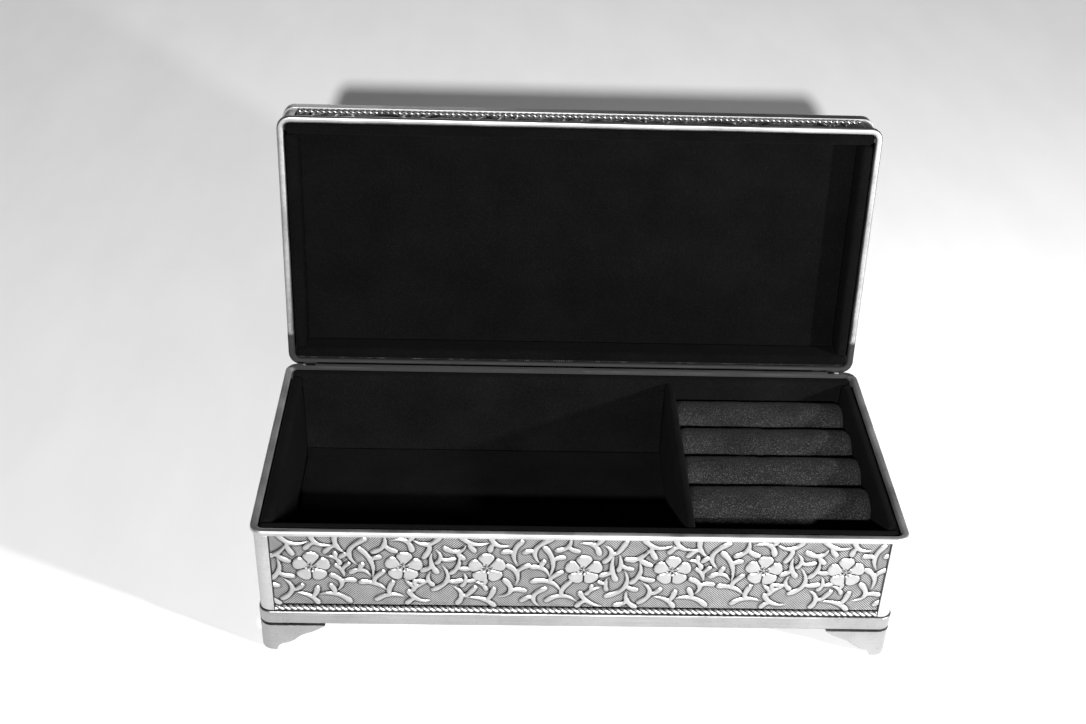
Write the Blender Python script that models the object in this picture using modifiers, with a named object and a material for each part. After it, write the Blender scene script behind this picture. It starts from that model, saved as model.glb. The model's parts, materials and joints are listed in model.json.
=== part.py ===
"""Vanity trinket box: a silver-plated box with relief panels, a hinged lid that stands open and a
velvet lining with a plain bay and a ring bay. Metres, +Z up, the table at Z = 0, the front at -Y."""

import math

import bmesh
import bpy
from mathutils import Matrix, Vector

# Overall sizes
BOX_LENGTH = 0.2200
BOX_DEPTH = 0.0993
MOUTH_HEIGHT = 0.0539
LID_DEPTH = 0.0176
LID_OPEN_DEGREES = 97.8
GAP = 0.0003

# Metal walls
CORNER_RADIUS = 0.0048
RIM_WIDTH = 0.0025
RIM_HEIGHT = 0.0023
RIM_ROUNDING = 0.0009
POST_INSET = 0.00095
POST_WIDTH = 0.00515
FIELD_INSET = 0.00175
ROPE_RADIUS = 0.00105
PLINTH_INSET = 0.0004
PLINTH_HEIGHT = 0.0061
PLINTH_UNDERCUT = 0.0015
PLINTH_CHAMFER = 0.0003
BASE_THICKNESS = 0.0012
FELT_THICKNESS = 0.0006
FELT_MARGIN = 0.0040

# Feet
FOOT_HEIGHT = 0.0117
FOOT_THICKNESS = 0.0030
FOOT_WING = 0.0231
FOOT_TOE = 0.0055

# Lid
COVER_HEIGHT = 0.0044
COVER_INSET = 0.0004
COVER_THICKNESS = 0.0022
COVER_ROUNDING = 0.0018
COVER_BORDER = 0.0085
TOP_FIELD_DEPTH = 0.0016
TOP_PANEL_THICKNESS = 0.0007

# Hinges
AXIS_BELOW_MOUTH = 0.00363
HINGE_FROM_END = 0.0087
LUG_WIDTH = 0.0042
EYE_RADIUS = 0.0017
PIN_RADIUS = 0.0006
PIN_CLEARANCE = 0.0001
EAR_WIDTH = 0.0020
EAR_REACH = 0.0018
LUG_RISE = 0.0046

# Lining
LINING_THICKNESS = 0.0040
LINING_DROP = 0.0008
FLOOR_PAD_THICKNESS = 0.0062
DIVIDER_THICKNESS = 0.0034
DIVIDER_DROP = 0.0016
RING_BAY_LENGTH = 0.0642
RING_TRAY_HEIGHT = 0.0084
FRONT_POCKET_DEPTH = 0.0165
ROLL_COUNT = 4
ROLL_SLOT = 0.0009
ROLL_DROP = 0.0055
LID_PAD_THICKNESS = 0.0036

# Places worked out from the sizes above
LID_OPEN = math.radians(LID_OPEN_DEGREES)
AXIS_BEHIND_RIM = EYE_RADIUS + GAP - FIELD_INSET
COVER_CORNER_OUT = COVER_INSET + COVER_ROUNDING


def lid_reach_behind_axis():
    """How far the open lid stands behind the hinge axis: to the rounded front corner of its cover."""
    to_front = -(BOX_DEPTH + AXIS_BEHIND_RIM - COVER_CORNER_OUT)
    to_top = AXIS_BELOW_MOUTH + GAP + LID_DEPTH - COVER_ROUNDING
    return to_front * math.cos(LID_OPEN) + to_top * math.sin(LID_OPEN) + COVER_ROUNDING


FRONT_Y = -(BOX_DEPTH + AXIS_BEHIND_RIM + lid_reach_behind_axis()) / 2
MIDDLE_Y = FRONT_Y + BOX_DEPTH / 2
BACK_Y = FRONT_Y + BOX_DEPTH
MOUTH_Z = MOUTH_HEIGHT
RIM_UNDER_Z = MOUTH_Z - RIM_HEIGHT
PLINTH_BOTTOM_Z = FOOT_HEIGHT
PLINTH_TOP_Z = PLINTH_BOTTOM_Z + PLINTH_HEIGHT
ROPE_Z = PLINTH_TOP_Z + GAP + ROPE_RADIUS
PANEL_BOTTOM_Z = ROPE_Z + ROPE_RADIUS + GAP
BASE_TOP_Z = PLINTH_BOTTOM_Z + BASE_THICKNESS
LINING_BOTTOM_Z = BASE_TOP_Z + GAP
FLOOR_Z = LINING_BOTTOM_Z + FLOOR_PAD_THICKNESS
HINGE_AXIS = Vector((0, BACK_Y + AXIS_BEHIND_RIM, MOUTH_Z - AXIS_BELOW_MOUTH))
LID_MOUTH_Z = MOUTH_Z + GAP
LID_RIM_TOP_Z = LID_MOUTH_Z + RIM_HEIGHT
LID_TOP_Z = LID_MOUTH_Z + LID_DEPTH
COVER_BOTTOM_Z = LID_TOP_Z - COVER_HEIGHT
LID_ROPE_Z = COVER_BOTTOM_Z - GAP - ROPE_RADIUS
LID_BAND_TOP_Z = LID_ROPE_Z - ROPE_RADIUS - GAP
COVER_UNDER_Z = LID_TOP_Z - COVER_THICKNESS
BAY_MARGIN = RIM_WIDTH + GAP + LINING_THICKNESS + GAP
BAY_END_X = BOX_LENGTH / 2 - BAY_MARGIN
BAY_FRONT_Y = FRONT_Y + BAY_MARGIN
BAY_BACK_Y = BACK_Y - BAY_MARGIN
DIVIDER_RIGHT_X = BAY_END_X - RING_BAY_LENGTH
DIVIDER_LEFT_X = DIVIDER_RIGHT_X - DIVIDER_THICKNESS
LINING_ROUNDING = CORNER_RADIUS - RIM_WIDTH - GAP
RING_TRAY_TOP_Z = FLOOR_Z + GAP + RING_TRAY_HEIGHT
ROLL_BOTTOM_Z = RING_TRAY_TOP_Z + GAP
ROLL_HEIGHT = MOUTH_Z - ROLL_DROP - ROLL_BOTTOM_Z
ROLLS_FRONT_Y = BAY_FRONT_Y + FRONT_POCKET_DEPTH
ROLLS_BACK_Y = BAY_BACK_Y - GAP
ROLL_PITCH = (ROLLS_BACK_Y - ROLLS_FRONT_Y + ROLL_SLOT) / ROLL_COUNT
ROLL_RADIUS = (ROLL_PITCH - ROLL_SLOT) / 2

# The four walls: the turn that carries the front wall there, its half distance and half length
SIDES = {
    "front": (0.0, BOX_DEPTH / 2, BOX_LENGTH / 2),
    "right": (90.0, BOX_LENGTH / 2, BOX_DEPTH / 2),
    "back": (180.0, BOX_DEPTH / 2, BOX_LENGTH / 2),
    "left": (270.0, BOX_LENGTH / 2, BOX_DEPTH / 2),
}
CORNERS = {"front_left": (-1, -1), "front_right": (1, -1), "back_right": (1, 1), "back_left": (-1, 1)}
SWAP_X_AND_Y = Matrix(((0, 1, 0, 0), (1, 0, 0, 0), (0, 0, 1, 0), (0, 0, 0, 1)))
ARC_STEPS = 6


def cleared_scene():
    """Remove every object and return the collections for the parts and for the cutters."""
    for obj in list(bpy.data.objects):
        bpy.data.objects.remove(obj)
    made = []
    for name in ("vanity_trinket_box", "cutters"):
        collection = bpy.data.collections.new(name)
        bpy.context.scene.collection.children.link(collection)
        made.append(collection)
    return made


def principled(name, colour, metallic, roughness):
    material = bpy.data.materials.new(name)
    material.use_nodes = True
    shader = material.node_tree.nodes["Principled BSDF"]
    shader.inputs["Base Color"].default_value = (*colour, 1.0)
    shader.inputs["Metallic"].default_value = metallic
    shader.inputs["Roughness"].default_value = roughness
    material.diffuse_color = (*colour, 1.0)
    return material


PARTS, CUTTERS = cleared_scene()
BRIGHT_SILVER = principled("bright_silver_plate", (0.72, 0.72, 0.71), 1.0, 0.28)
SATIN_SILVER = principled("satin_silver_plate", (0.62, 0.62, 0.61), 1.0, 0.42)
OXIDISED_SILVER = principled("oxidised_silver_plate", (0.40, 0.40, 0.39), 1.0, 0.50)
HINGE_STEEL = principled("hinge_steel", (0.50, 0.50, 0.50), 1.0, 0.35)
BLACK_VELVET = principled("black_velvet", (0.010, 0.010, 0.011), 0.0, 0.95)
ROLL_VELOUR = principled("black_velour", (0.016, 0.016, 0.017), 0.0, 0.90)
BLACK_CARD = principled("black_card", (0.10, 0.10, 0.10), 0.0, 0.90)
BASE_VELVET = principled("base_velvet", (0.012, 0.012, 0.013), 0.0, 0.95)


# Shapes
def arc(centre, radius, start_degrees, steps=ARC_STEPS):
    """The points of a quarter turn, anticlockwise from start_degrees."""
    points = []
    for step in range(steps + 1):
        angle = math.radians(start_degrees + 90 * step / steps)
        points.append((centre[0] + radius * math.cos(angle), centre[1] + radius * math.sin(angle)))
    return points


def rounded_rectangle(length, depth, radius, steps=ARC_STEPS):
    """The outline of a rectangle about the origin, with round corners, anticlockwise."""
    points = []
    for x_sign, y_sign, start in ((1, 1, 0), (-1, 1, 90), (-1, -1, 180), (1, -1, 270)):
        centre = (x_sign * (length / 2 - radius), y_sign * (depth / 2 - radius))
        points += arc(centre, radius, start, steps)
    return points


def curve_object(name, outlines):
    """A 2D curve object with one closed straight-line spline for each outline."""
    curve = bpy.data.curves.new(name, "CURVE")
    curve.dimensions = "2D"
    for outline in outlines:
        spline = curve.splines.new("POLY")
        spline.points.add(len(outline) - 1)
        for point, (x, y) in zip(spline.points, outline):
            point.co = (x, y, 0, 1)
        spline.use_cyclic_u = True
    obj = bpy.data.objects.new(name, curve)
    bpy.context.scene.collection.objects.link(obj)
    return obj


def mesh_from_curve(obj):
    """The curve object's welded mesh, facing out; the curve object is removed."""
    graph = bpy.context.evaluated_depsgraph_get()
    mesh = bpy.data.meshes.new_from_object(obj.evaluated_get(graph))
    work = bmesh.new()
    work.from_mesh(mesh)
    bmesh.ops.remove_doubles(work, verts=work.verts, dist=1e-6)
    bmesh.ops.recalc_face_normals(work, faces=work.faces)
    work.to_mesh(mesh)
    work.free()
    mesh.materials.clear()
    bpy.data.objects.remove(obj)
    return mesh


def flat_mesh(name, outlines, low, high):
    """A flat outline, with any holes, as a solid from height low to height high."""
    obj = curve_object(name, outlines)
    obj.data.fill_mode = "BOTH"
    obj.data.extrude = (high - low) / 2
    mesh = mesh_from_curve(obj)
    mesh.transform(Matrix.Translation((0, 0, (low + high) / 2)))
    return mesh


def moulding_mesh(name, length, depth, radius, profile):
    """A profile of (inward, up) points carried round a rounded rectangle."""
    path = curve_object(name, [rounded_rectangle(length, depth, radius)])
    section = curve_object(name + "_section", [profile])
    path.data.fill_mode = "NONE"
    path.data.bevel_mode = "OBJECT"
    path.data.bevel_object = section
    mesh = mesh_from_curve(path)
    bpy.data.objects.remove(section)
    return mesh


def block_mesh(name, low, high):
    """A box between two corners."""
    work = bmesh.new()
    size = [b - a for a, b in zip(low, high)]
    centre = [(a + b) / 2 for a, b in zip(low, high)]
    matrix = Matrix.Translation(centre) @ Matrix.Diagonal((*size, 1))
    bmesh.ops.create_cube(work, size=1, matrix=matrix)
    mesh = bpy.data.meshes.new(name)
    work.to_mesh(mesh)
    work.free()
    return mesh


def rod_mesh(name, radius, start_x, end_x, sides=12):
    """A round bar along X on the local axis."""
    work = bmesh.new()
    turn = Matrix.Translation(((start_x + end_x) / 2, 0, 0)) @ Matrix.Rotation(math.pi / 2, 4, "Y")
    size = {"segments": sides, "radius1": radius, "radius2": radius, "depth": end_x - start_x}
    bmesh.ops.create_cone(work, cap_ends=True, matrix=turn, **size)
    mesh = bpy.data.meshes.new(name)
    work.to_mesh(mesh)
    work.free()
    return mesh


def placed(name, mesh, material, frame=None, parent=None):
    """An object of the mesh. A piece of the lid is placed as if closed, and turns with its parent axis."""
    obj = bpy.data.objects.new(name, mesh)
    PARTS.objects.link(obj)
    mesh.materials.append(material)
    if parent is not None:
        obj.parent = parent
        obj.matrix_parent_inverse = Matrix.Translation(-HINGE_AXIS)
    obj.matrix_basis = frame if frame is not None else Matrix()
    return obj


def rounded_edges(obj, width, segments=2, angle_degrees=40):
    bevel = obj.modifiers.new("rounded_edges", "BEVEL")
    bevel.width = width
    bevel.segments = segments
    bevel.limit_method = "ANGLE"
    bevel.angle_limit = math.radians(angle_degrees)
    obj.data.shade_smooth()
    return obj


def cutter(name, mesh, frame=None):
    obj = bpy.data.objects.new(name, mesh)
    CUTTERS.objects.link(obj)
    obj.matrix_basis = frame if frame is not None else Matrix()
    obj.hide_render = True
    obj.display_type = "WIRE"
    return obj


def combine(obj, other, operation):
    boolean = obj.modifiers.new(other.name, "BOOLEAN")
    boolean.operation = operation
    boolean.object = other
    boolean.solver = "EXACT"
    return obj


def wall_frame(side):
    """Along the wall is X, inward from the rim's outer edge is Y."""
    degrees, half_distance, _ = SIDES[side]
    turn = Matrix.Rotation(math.radians(degrees), 4, "Z")
    return Matrix.Translation((0, MIDDLE_Y, 0)) @ turn @ Matrix.Translation((0, -half_distance, 0))


def corner_frame(corner):
    """The front left corner's frame, carried to the named corner by mirroring: X and Y run inward."""
    x_sign, y_sign = CORNERS[corner]
    to_corner = Matrix.Translation((x_sign * BOX_LENGTH / 2, MIDDLE_Y + y_sign * BOX_DEPTH / 2, 0))
    return to_corner @ Matrix.Diagonal((-x_sign, -y_sign, 1, 1))


def bullnose(width, height, rounding):
    """A moulding's section with all four edges rounded, from (0, 0)."""
    outline = rounded_rectangle(width, height, rounding, 3)
    return [(x + width / 2, y + height / 2) for x, y in outline]


# Metal body
def notch_low_y():
    """Where the rim's notch for a hinge eye starts."""
    return HINGE_AXIS.y - EYE_RADIUS - GAP


def hinge_span(sign):
    """The lug's two ends along X on the side that sign gives, low to high."""
    middle = sign * (BOX_LENGTH / 2 - HINGE_FROM_END)
    return middle - LUG_WIDTH / 2, middle + LUG_WIDTH / 2


def make_top_rim():
    profile = bullnose(RIM_WIDTH, RIM_HEIGHT, RIM_ROUNDING)
    mesh = moulding_mesh("top_rim", BOX_LENGTH, BOX_DEPTH, CORNER_RADIUS, profile)
    rim = placed("top_rim", mesh, BRIGHT_SILVER, Matrix.Translation((0, MIDDLE_Y, RIM_UNDER_Z)))
    for side, sign in (("left", -1), ("right", 1)):
        low_x, high_x = hinge_span(sign)
        low = (low_x - GAP, notch_low_y(), RIM_UNDER_Z - RIM_HEIGHT)
        high = (high_x + GAP, BACK_Y + RIM_WIDTH, MOUTH_Z + RIM_HEIGHT)
        combine(rim, cutter(f"rim_notch_{side}", block_mesh(f"rim_notch_{side}", low, high)), "DIFFERENCE")


def panel_half_length(side):
    return SIDES[side][2] - POST_INSET - POST_WIDTH - GAP


def make_wall_plates(prefix, low_z, high_z, material, parent=None):
    """The four relief plates between the corner posts."""
    for side in SIDES:
        half = panel_half_length(side)
        name = f"{side}_{prefix}" if parent is None else f"{prefix}_{side}"
        mesh = block_mesh(name, (-half, FIELD_INSET, low_z), (half, RIM_WIDTH, high_z))
        placed(name, mesh, material, wall_frame(side), parent)


def post_outline():
    """An angle section with a round outer corner, from the rim's outer corner inward."""
    outer = POST_INSET
    end = POST_INSET + POST_WIDTH
    radius = CORNER_RADIUS - POST_INSET
    points = arc((outer + radius, outer + radius), radius, 180)
    points += [(end, outer), (end, RIM_WIDTH), (RIM_WIDTH, RIM_WIDTH), (RIM_WIDTH, end), (outer, end)]
    return points


def make_posts(prefix, low_z, high_z, parent=None):
    for corner in CORNERS:
        name = f"{prefix}_{corner}"
        mesh = flat_mesh(name, [post_outline()], low_z, high_z)
        placed(name, mesh, BRIGHT_SILVER, corner_frame(corner), parent)


def make_ropes(prefix, z, parent=None):
    for side in SIDES:
        name = f"{prefix}_{side}"
        half = panel_half_length(side)
        mesh = rod_mesh(name, ROPE_RADIUS, -half, half, 8)
        frame = wall_frame(side) @ Matrix.Translation((0, PLINTH_INSET + ROPE_RADIUS, z))
        placed(name, mesh, BRIGHT_SILVER, frame, parent)


def plinth_profile():
    """A flat band with a round lower edge and a small chamfer on its upper one."""
    width = RIM_WIDTH - PLINTH_INSET
    lower = arc((PLINTH_UNDERCUT, PLINTH_UNDERCUT), PLINTH_UNDERCUT, 180, 4)
    upper = [(PLINTH_CHAMFER, PLINTH_HEIGHT), (0, PLINTH_HEIGHT - PLINTH_CHAMFER)]
    return lower + [(width, 0), (width, PLINTH_HEIGHT)] + upper


def make_plinth():
    length = BOX_LENGTH - 2 * PLINTH_INSET
    depth = BOX_DEPTH - 2 * PLINTH_INSET
    mesh = moulding_mesh("plinth", length, depth, CORNER_RADIUS - PLINTH_INSET, plinth_profile())
    placed("plinth", mesh, SATIN_SILVER, Matrix.Translation((0, MIDDLE_Y, PLINTH_BOTTOM_Z)))


def make_base():
    frame = Matrix.Translation((0, MIDDLE_Y, 0))
    margin = RIM_WIDTH + GAP
    outline = rounded_rectangle(BOX_LENGTH - 2 * margin, BOX_DEPTH - 2 * margin, CORNER_RADIUS - margin)
    plate = flat_mesh("base_plate", [outline], PLINTH_BOTTOM_Z, BASE_TOP_Z)
    placed("base_plate", plate, SATIN_SILVER, frame)
    margin += FELT_MARGIN
    outline = rounded_rectangle(BOX_LENGTH - 2 * margin, BOX_DEPTH - 2 * margin, RIM_WIDTH)
    top = PLINTH_BOTTOM_Z - GAP
    placed("base_felt", flat_mesh("base_felt", [outline], top - FELT_THICKNESS, top), BASE_VELVET, frame)


def foot_plan():
    """An angle in plan with a round outer corner: one wing along X, one along Y."""
    outer = PLINTH_INSET
    inner = PLINTH_INSET + FOOT_THICKNESS
    end = PLINTH_INSET + FOOT_WING
    radius = CORNER_RADIUS - PLINTH_INSET
    points = arc((outer + radius, outer + radius), radius, 180)
    return points + [(end, outer), (end, inner), (inner, inner), (inner, end), (outer, end)]


def wing_cut_outline():
    """What is cut from under a wing, as (along from the corner, up): two hollows and a step."""
    top = FOOT_HEIGHT
    toe = PLINTH_INSET + FOOT_TOE
    reach = FOOT_WING - FOOT_TOE
    ogee = [
        (0.00, -0.10),
        (0.01, 0.05),
        (0.05, 0.17),
        (0.12, 0.24),
        (0.24, 0.29),
        (0.36, 0.39),
        (0.44, 0.51),
        (0.50, 0.59),
        (0.60, 0.66),
        (0.72, 0.73),
        (0.84, 0.83),
        (0.94, 0.93),
        (1.00, 1.00),
        (1.00, 1.20),
    ]
    outline = [(toe + along * reach, up * top) for along, up in ogee]
    return outline + [(toe + 2 * reach, 1.2 * top), (toe + 2 * reach, -0.10 * top)]


def make_feet():
    upright = Matrix.Rotation(math.pi / 2, 4, "X")
    for corner in CORNERS:
        name = f"foot_{corner}"
        frame = corner_frame(corner)
        mesh = flat_mesh(name, [foot_plan()], 0, PLINTH_BOTTOM_Z - GAP)
        foot = placed(name, mesh, SATIN_SILVER, frame)
        for wing, turn in (("x", Matrix()), ("y", SWAP_X_AND_Y)):
            cut = flat_mesh(f"{name}_cut_{wing}", [wing_cut_outline()], -3 * FOOT_THICKNESS, FOOT_THICKNESS)
            cut.transform(frame @ turn @ upright)
            if (frame @ turn).determinant() < 0:
                cut.flip_normals()
            combine(foot, cutter(f"{name}_cut_{wing}", cut), "DIFFERENCE")


# Hinges
def make_hinge(side, sign, lid_axis):
    """A clevis block behind the wall, its pin, and the lid's lug that turns on the pin."""
    low_x, high_x = hinge_span(sign)
    front = BACK_Y - POST_INSET + GAP
    back = HINGE_AXIS.y + EAR_REACH
    top = RIM_UNDER_Z - GAP
    floor = HINGE_AXIS.z - EYE_RADIUS - 2 * GAP
    low = (low_x - GAP - EAR_WIDTH, front, floor - BASE_THICKNESS)
    high = (high_x + GAP + EAR_WIDTH, back, top)
    block = placed(f"hinge_block_{side}", block_mesh(f"hinge_block_{side}", low, high), SATIN_SILVER)
    slot_low = (low_x - GAP, front - EAR_REACH, floor)
    slot_high = (high_x + GAP, back + EAR_REACH, top + EAR_REACH)
    slot = cutter(f"hinge_slot_{side}", block_mesh(f"hinge_slot_{side}", slot_low, slot_high))
    combine(block, slot, "DIFFERENCE")
    on_axis = Matrix.Translation(HINGE_AXIS)
    bore_mesh = rod_mesh(f"hinge_bore_{side}", PIN_RADIUS + PIN_CLEARANCE / 2, low[0] - GAP, high[0] + GAP)
    combine(block, cutter(f"hinge_bore_{side}", bore_mesh, on_axis), "DIFFERENCE")
    pin = rod_mesh(f"hinge_pin_{side}", PIN_RADIUS, low[0] + GAP, high[0] - GAP)
    placed(f"hinge_pin_{side}", pin, HINGE_STEEL, on_axis)

    eye_mesh = rod_mesh(f"lid_lug_{side}", EYE_RADIUS, low_x, high_x, 16)
    eye = placed(f"lid_lug_{side}", eye_mesh, BRIGHT_SILVER, on_axis, lid_axis)
    arm_low = (low_x, BACK_Y + GAP, HINGE_AXIS.z)
    arm_high = (high_x, HINGE_AXIS.y + EYE_RADIUS, LID_MOUTH_Z + LUG_RISE)
    arm_frame = lid_axis.matrix_basis @ Matrix.Translation(-HINGE_AXIS)
    arm = cutter(f"lug_arm_{side}", block_mesh(f"lug_arm_{side}", arm_low, arm_high), arm_frame)
    combine(eye, arm, "UNION")
    eye_bore = rod_mesh(f"lug_bore_{side}", PIN_RADIUS + PIN_CLEARANCE, low_x - GAP, high_x + GAP)
    combine(eye, cutter(f"lug_bore_{side}", eye_bore, arm_frame @ on_axis), "DIFFERENCE")


# Lid, placed as if closed
def make_lid_metal(lid_axis):
    profile = bullnose(RIM_WIDTH, RIM_HEIGHT, RIM_ROUNDING)
    mesh = moulding_mesh("lid_rim", BOX_LENGTH, BOX_DEPTH, CORNER_RADIUS, profile)
    placed("lid_rim", mesh, BRIGHT_SILVER, Matrix.Translation((0, MIDDLE_Y, LID_MOUTH_Z)), lid_axis)
    make_wall_plates("lid_band", LID_RIM_TOP_Z + GAP, LID_BAND_TOP_Z, OXIDISED_SILVER, lid_axis)
    make_posts("lid_post", LID_RIM_TOP_Z + GAP, COVER_BOTTOM_Z - GAP, lid_axis)
    make_ropes("lid_rope", LID_ROPE_Z, lid_axis)
    make_lid_cover(lid_axis)


def make_lid_cover(lid_axis):
    """The cast top: a shallow cap, open below, with a recessed field that the relief panel sits in."""
    frame = Matrix.Translation((0, MIDDLE_Y, 0))
    length = BOX_LENGTH - 2 * COVER_INSET
    depth = BOX_DEPTH - 2 * COVER_INSET
    outline = rounded_rectangle(length, depth, CORNER_RADIUS - COVER_INSET)
    mesh = flat_mesh("lid_cover", [outline], COVER_BOTTOM_Z, LID_TOP_Z)
    cover = placed("lid_cover", mesh, BRIGHT_SILVER, frame, lid_axis)
    lid_turn = lid_axis.matrix_basis @ Matrix.Translation(-HINGE_AXIS) @ frame
    inside_radius = CORNER_RADIUS - RIM_WIDTH
    inner = rounded_rectangle(BOX_LENGTH - 2 * RIM_WIDTH, BOX_DEPTH - 2 * RIM_WIDTH, inside_radius)
    hollow = flat_mesh("lid_cover_hollow", [inner], COVER_BOTTOM_Z - COVER_HEIGHT, COVER_UNDER_Z)
    combine(cover, cutter("lid_cover_hollow", hollow, lid_turn), "DIFFERENCE")
    field_length = length - 2 * COVER_BORDER
    field_depth = depth - 2 * COVER_BORDER
    field = rounded_rectangle(field_length, field_depth, RIM_WIDTH)
    recess = flat_mesh("lid_top_recess", [field], LID_TOP_Z - TOP_FIELD_DEPTH, LID_TOP_Z + TOP_FIELD_DEPTH)
    combine(cover, cutter("lid_top_recess", recess, lid_turn), "DIFFERENCE")
    rounded_edges(cover, COVER_ROUNDING, 4)
    bevel_place = len(cover.modifiers) - 1
    cover.modifiers.move(bevel_place, 0)
    panel = rounded_rectangle(field_length - 2 * GAP, field_depth - 2 * GAP, RIM_WIDTH - GAP)
    low = LID_TOP_Z - TOP_FIELD_DEPTH + GAP
    mesh = flat_mesh("lid_top_panel", [panel], low, low + TOP_PANEL_THICKNESS)
    placed("lid_top_panel", mesh, OXIDISED_SILVER, frame, lid_axis)


# Lining
def make_wall_linings(prefix, low_z, high_z, parent=None):
    """Padded boards: the front and back ones run the whole length, the side ones fit between them."""
    near = RIM_WIDTH + GAP
    for side in SIDES:
        half = SIDES[side][2] - near
        if side in ("left", "right"):
            half -= LINING_THICKNESS + GAP
        name = f"{prefix}_{side}"
        mesh = block_mesh(name, (-half, near, low_z), (half, near + LINING_THICKNESS, high_z))
        rounded_edges(placed(name, mesh, BLACK_VELVET, wall_frame(side), parent), LINING_ROUNDING)


def make_floor_and_divider():
    low = (-BAY_END_X, BAY_FRONT_Y, LINING_BOTTOM_Z)
    pad = placed("floor_pad", block_mesh("floor_pad", low, (BAY_END_X, BAY_BACK_Y, FLOOR_Z)), BLACK_VELVET)
    rounded_edges(pad, LINING_ROUNDING)
    low = (DIVIDER_LEFT_X, BAY_FRONT_Y, FLOOR_Z + GAP)
    high = (DIVIDER_RIGHT_X, BAY_BACK_Y, MOUTH_Z - DIVIDER_DROP)
    divider = placed("divider", block_mesh("divider", low, high), BLACK_VELVET)
    rounded_edges(divider, LINING_ROUNDING)


def roll_outline():
    """A foam bar's section: flat below, round above, about its middle and up from its underside."""
    crown_centre = (0, ROLL_HEIGHT - ROLL_RADIUS)
    crown = arc(crown_centre, ROLL_RADIUS, 0) + arc(crown_centre, ROLL_RADIUS, 90)[1:]
    return [(-ROLL_RADIUS, 0), (ROLL_RADIUS, 0)] + crown


def make_ring_bay():
    start_x = DIVIDER_RIGHT_X + GAP
    end_x = BAY_END_X - GAP
    tray_low = (start_x, ROLLS_FRONT_Y, FLOOR_Z + GAP)
    tray = block_mesh("ring_tray", tray_low, (end_x, ROLLS_BACK_Y, RING_TRAY_TOP_Z))
    placed("ring_tray", tray, BLACK_CARD)
    lay_along_x = Matrix(((0, 0, 1, 0), (1, 0, 0, 0), (0, 1, 0, 0), (0, 0, 0, 1)))
    for number in range(ROLL_COUNT):
        middle = ROLLS_BACK_Y - ROLL_RADIUS - number * ROLL_PITCH
        name = f"ring_roll_{number + 1}"
        mesh = flat_mesh(name, [roll_outline()], start_x, end_x)
        placed(name, mesh, ROLL_VELOUR, Matrix.Translation((0, middle, ROLL_BOTTOM_Z)) @ lay_along_x)


def make_lid_lining(lid_axis):
    pad_top = COVER_UNDER_Z - GAP
    pad_bottom = pad_top - LID_PAD_THICKNESS
    margin = RIM_WIDTH + GAP
    outline = rounded_rectangle(BOX_LENGTH - 2 * margin, BOX_DEPTH - 2 * margin, CORNER_RADIUS - margin)
    mesh = flat_mesh("lid_pad", [outline], pad_bottom, pad_top)
    placed("lid_pad", mesh, BLACK_VELVET, Matrix.Translation((0, MIDDLE_Y, 0)), lid_axis)
    make_wall_linings("lid_lining", LID_MOUTH_Z + LINING_DROP, pad_bottom - GAP, lid_axis)


def main():
    lid_axis = bpy.data.objects.new("lid_axis", None)
    PARTS.objects.link(lid_axis)
    lid_axis.matrix_basis = Matrix.Translation(HINGE_AXIS) @ Matrix.Rotation(-LID_OPEN, 4, "X")

    make_top_rim()
    make_wall_plates("panel", PANEL_BOTTOM_Z, RIM_UNDER_Z - GAP, OXIDISED_SILVER)
    make_posts("corner_post", PLINTH_TOP_Z + GAP, RIM_UNDER_Z - GAP)
    make_ropes("rope", ROPE_Z)
    make_plinth()
    make_base()
    make_feet()
    make_lid_metal(lid_axis)
    for side, sign in (("left", -1), ("right", 1)):
        make_hinge(side, sign, lid_axis)
    make_wall_linings("lining", LINING_BOTTOM_Z, MOUTH_Z - LINING_DROP)
    make_floor_and_divider()
    make_ring_bay()
    make_lid_lining(lid_axis)
    bpy.context.view_layer.update()


main()
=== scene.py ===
"""Looks of the vanity trinket box: relief silver plate outside, black velvet inside, lid standing open.

Lengths are metres. A wall's pieces are made as if that wall faced the front, and the lid's pieces as
if the lid were shut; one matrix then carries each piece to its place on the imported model."""
import json
import logging
import math
from collections.abc import Callable, Iterable, Sequence
from dataclasses import dataclass, field
from enum import Enum

import bmesh
import bpy
import numpy as np
from mathutils import Matrix, Vector


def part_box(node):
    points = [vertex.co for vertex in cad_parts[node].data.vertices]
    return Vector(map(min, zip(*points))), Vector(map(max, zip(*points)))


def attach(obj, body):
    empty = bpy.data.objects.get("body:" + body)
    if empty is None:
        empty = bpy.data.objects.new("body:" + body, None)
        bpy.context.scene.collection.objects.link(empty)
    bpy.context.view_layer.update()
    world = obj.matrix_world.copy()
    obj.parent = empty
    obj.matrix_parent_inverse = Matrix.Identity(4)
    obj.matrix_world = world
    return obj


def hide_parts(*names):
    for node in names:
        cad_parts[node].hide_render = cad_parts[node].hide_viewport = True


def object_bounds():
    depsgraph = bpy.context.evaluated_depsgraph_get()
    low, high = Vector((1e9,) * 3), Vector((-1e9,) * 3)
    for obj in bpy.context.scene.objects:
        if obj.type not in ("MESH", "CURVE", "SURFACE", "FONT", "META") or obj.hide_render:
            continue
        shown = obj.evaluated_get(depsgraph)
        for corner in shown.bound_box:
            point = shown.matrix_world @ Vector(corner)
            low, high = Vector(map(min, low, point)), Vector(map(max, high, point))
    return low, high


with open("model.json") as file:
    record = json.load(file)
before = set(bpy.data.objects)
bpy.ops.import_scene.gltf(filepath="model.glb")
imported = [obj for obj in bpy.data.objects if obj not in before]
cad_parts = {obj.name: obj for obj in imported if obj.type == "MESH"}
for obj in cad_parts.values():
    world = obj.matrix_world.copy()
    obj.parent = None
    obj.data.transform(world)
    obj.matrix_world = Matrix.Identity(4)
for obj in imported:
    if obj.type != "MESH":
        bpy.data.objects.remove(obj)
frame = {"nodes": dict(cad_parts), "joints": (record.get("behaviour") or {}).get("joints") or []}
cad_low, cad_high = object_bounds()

LOG = logging.getLogger("trinket_box")
MM = 0.001
FULL_TURN = 2 * math.pi
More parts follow.
